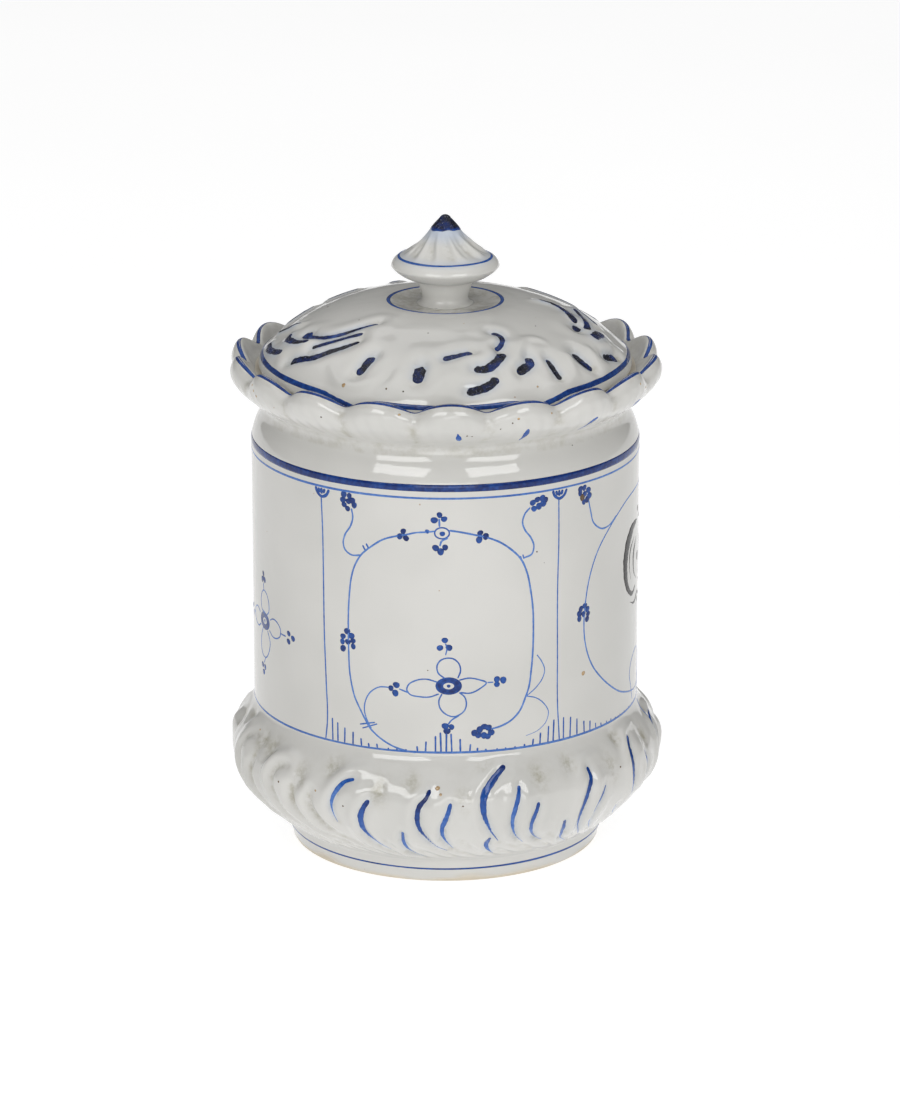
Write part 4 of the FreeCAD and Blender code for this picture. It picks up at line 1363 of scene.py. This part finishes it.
def paint_knob():
    """The line round the disc, and the cap as a thin shell over the tip with an uneven lower edge."""
    ring("knob_line", "lid", knob_skin, 193.75, 0.85, 0.50, 0.05)
    rows, columns = cap_grid.shape[:2]
    angle = np.radians(np.arange(columns) * 360 / columns)
    droop = (0.18 * np.sin(3 * angle + 1) + 0.10 * np.sin(8 * angle))[None, :, None] * np.array([0, 0, 1.0])
    outward = cap_grid * np.array([1, 1, 0])
    outward = outward / np.maximum(np.linalg.norm(outward, axis=-1, keepdims=True), 1e-6)
    droop = droop - outward[:1] * droop[..., 2:] * CAP_SLOPE
    fade = np.linspace(1, 0, rows)[:, None, None] ** 2
    outer = cap_grid + cap_normals * CAP_LIFT + droop * fade
    lip = cap_grid[:1] - cap_normals[:1] * 0.10 + droop
    inner = cap_grid[:1] * np.array([0.7, 0.7, 1.0]) + np.array([0, 0, 0.1])
    grid = np.concatenate([inner, lip, outer])
    ink = np.concatenate([[0.5, 0.5], 0.60 + 0.28 * ease(np.arange(rows) / 2.5)])[:, None] * np.ones(columns)
    cap = closed_turning("knob_cap_paint", grid, {"ink": ink}, grid[0, 0, 2], 207.07)
    cap.data.attributes["ink"].data[-1].value = 0.95
    cap.data.materials.append(THICK_BLUE)
    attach(cap, "lid")


# Inks of the spots: tan iron specks, and dark specks or pinholes.
TAN, DARK = 0.32, 0.75
# For each piece: its body, slot and skin, and its spots as azimuth, mark, radius and ink.
IRON_SPOTS = [
    ("wall_iron_spots", "jar", "jar_porcelain", wall_skin, [
        (43.4, 127, 1.25, DARK), (44.4, 68.6, 0.85, TAN), (27.2, 112.4, 0.3, DARK), (112, 84, 0.55, TAN),
        (-112, 118, 0.5, TAN), (176, 101, 0.6, TAN), (231, 63, 0.45, TAN), (-5, 75.6, 0.22, DARK)]),
    ("frill_iron_spots", "jar", "jar_porcelain", frill_skin, [
        (5.8, 4.2, 0.34, DARK), (7.2, 4.0, 0.26, DARK), (17.5, 6.6, 0.30, DARK), (14.6, 5.4, 0.26, DARK),
        (19, 7.4, 0.42, TAN), (-62, 8.2, 0.45, TAN), (-60.5, 7.3, 0.5, TAN), (-59, 6.5, 0.4, TAN),
        (-52, 5.5, 0.25, TAN), (-12, 8.8, 0.45, TAN), (62, 8.3, 0.4, TAN), (67, 7, 0.35, TAN),
        (29, 7.8, 0.4, TAN), (-34, 6.2, 0.3, DARK), (152, 5, 0.34, DARK), (201, 7, 0.3, DARK),
        (88, 6, 0.4, TAN)]),
    ("base_iron_spots", "jar", "jar_porcelain", base_skin, [
        (-27.4, 30.4, 0.3, DARK), (-36, 33.4, 0.42, TAN), (-48, 33, 0.34, DARK), (-2, 38.4, 0.8, TAN),
        (-1.2, 36.6, 0.5, TAN), (-66, 43, 0.4, TAN), (4.6, 33, 0.3, DARK), (54, 35.6, 0.34, DARK),
        (150, 30, 0.4, TAN)]),
    ("lid_iron_spots", "lid", "lid_porcelain", lid_skin, [
        (-33, -57.2, 0.75, TAN), (-18.6, -56.6, 0.34, DARK), (-13, -57, 0.34, DARK), (30, -57, 0.4, TAN),
        (-9, -34, 0.24, DARK), (12, -28, 0.2, TAN), (52, -36, 0.24, DARK), (-55, -33, 0.24, DARK),
        (139, -44, 0.4, TAN), (204, -50, 0.36, TAN), (262, -38, 0.3, DARK)]),
]


def spot_glaze():
    """The iron spots and pinholes that are large enough to see one by one."""
    for name, body, slot, skin, spots in IRON_SPOTS:
        brush = Brush(skin, lift=1.5)
        for azimuth, mark, radius, ink in spots:
            brush.dot((azimuth, mark), radius, ink)
        brush.piece(name, body, slot, IRON)


paint_wall()
paint_rings()
paint_base()
paint_frill()
paint_lid()
paint_knob()
spot_glaze()


# ---------------------------------------------------------------- floor, light and camera

FLOOR_REACH = 6.0
FLOOR_TOP = -0.0003
FLOOR_BOTTOM = -0.003


def make_floor():
    """A white sheet that lights itself, so that it stays white round the jar."""
    corners = [(-FLOOR_REACH, -FLOOR_REACH), (FLOOR_REACH, -FLOOR_REACH), (FLOOR_REACH, FLOOR_REACH),
               (-FLOOR_REACH, FLOOR_REACH)]
    vertices = [(x / MM, y / MM, z / MM) for z in (FLOOR_TOP, FLOOR_BOTTOM) for x, y in corners]
    faces = [(0, 1, 2, 3), (7, 6, 5, 4), (0, 4, 5, 1), (1, 5, 6, 2), (2, 6, 7, 3), (3, 7, 4, 0)]
    floor = make_mesh("floor", vertices, faces)
    material, tree, shader = new_material("paper_floor")
    colour = ramp(tree, noise(tree, 3, 2), [(0.3, (0.38, 0.38, 0.38)), (0.7, (0.40, 0.40, 0.40))])
    tree.links.new(colour, shader.inputs["Base Color"])
    shader.inputs["Roughness"].default_value = 0.9
    shader.inputs["Specular IOR Level"].default_value = 0.0
    shader.inputs["Emission Color"].default_value = (*WHITE, 1)
    shader.inputs["Emission Strength"].default_value = 0.80
    floor.data.materials.append(material)


# Each light: name, azimuth, elevation, distance from the aim, size and watts.
LIGHTS = [
    ("key_left", -27, 26, 1.6, (0.85, 0.42), 5.8),
    ("key_right", 30, 26, 1.6, (0.85, 0.42), 5.8),
    ("front_fill", 0, 4, 2.2, (1.4, 0.4), 5.2),
    ("ceiling", 0, 90, 2.5, (4.5, 4.5), 48),
]
LIGHT_AIM = Vector((0, 0, 0.11))


def softbox(name, azimuth, elevation, distance, size, watts):
    """A rectangular light that looks at the aim from that side."""
    light = bpy.data.lights.new(name, "AREA")
    light.shape = "RECTANGLE"
    light.size, light.size_y = size
    light.energy = watts
    lamp = bpy.data.objects.new(name, light)
    bpy.context.collection.objects.link(lamp)
    a, e = math.radians(azimuth), math.radians(elevation)
    way = Vector((math.sin(a) * math.cos(e), -math.cos(a) * math.cos(e), math.sin(e)))
    lamp.location = LIGHT_AIM + way * distance
    lamp.rotation_euler = way.to_track_quat("Z", "Y").to_euler()


def make_studio():
    world = bpy.data.worlds.new("white_room")
    bpy.context.scene.world = world
    world.use_nodes = True
    background = world.node_tree.nodes["Background"]
    background.inputs["Color"].default_value = (*WHITE, 1)
    background.inputs["Strength"].default_value = 0.14
    for light in LIGHTS:
        softbox(*light)
    bpy.context.scene.view_settings.view_transform = "Standard"


CAMERA_PLACE = (0.0015, -1.4359, 0.5466)
CAMERA_TILT = 72.51
FOCAL_LENGTH = 150.8


def make_camera():
    camera = bpy.data.cameras.new("camera")
    camera.lens = FOCAL_LENGTH
    camera.sensor_width = 36
    holder = bpy.data.objects.new("camera", camera)
    bpy.context.collection.objects.link(holder)
    holder.location = CAMERA_PLACE
    holder.rotation_euler = (math.radians(CAMERA_TILT), 0, 0)
    bpy.context.scene.camera = holder


make_floor()
make_studio()
make_camera()
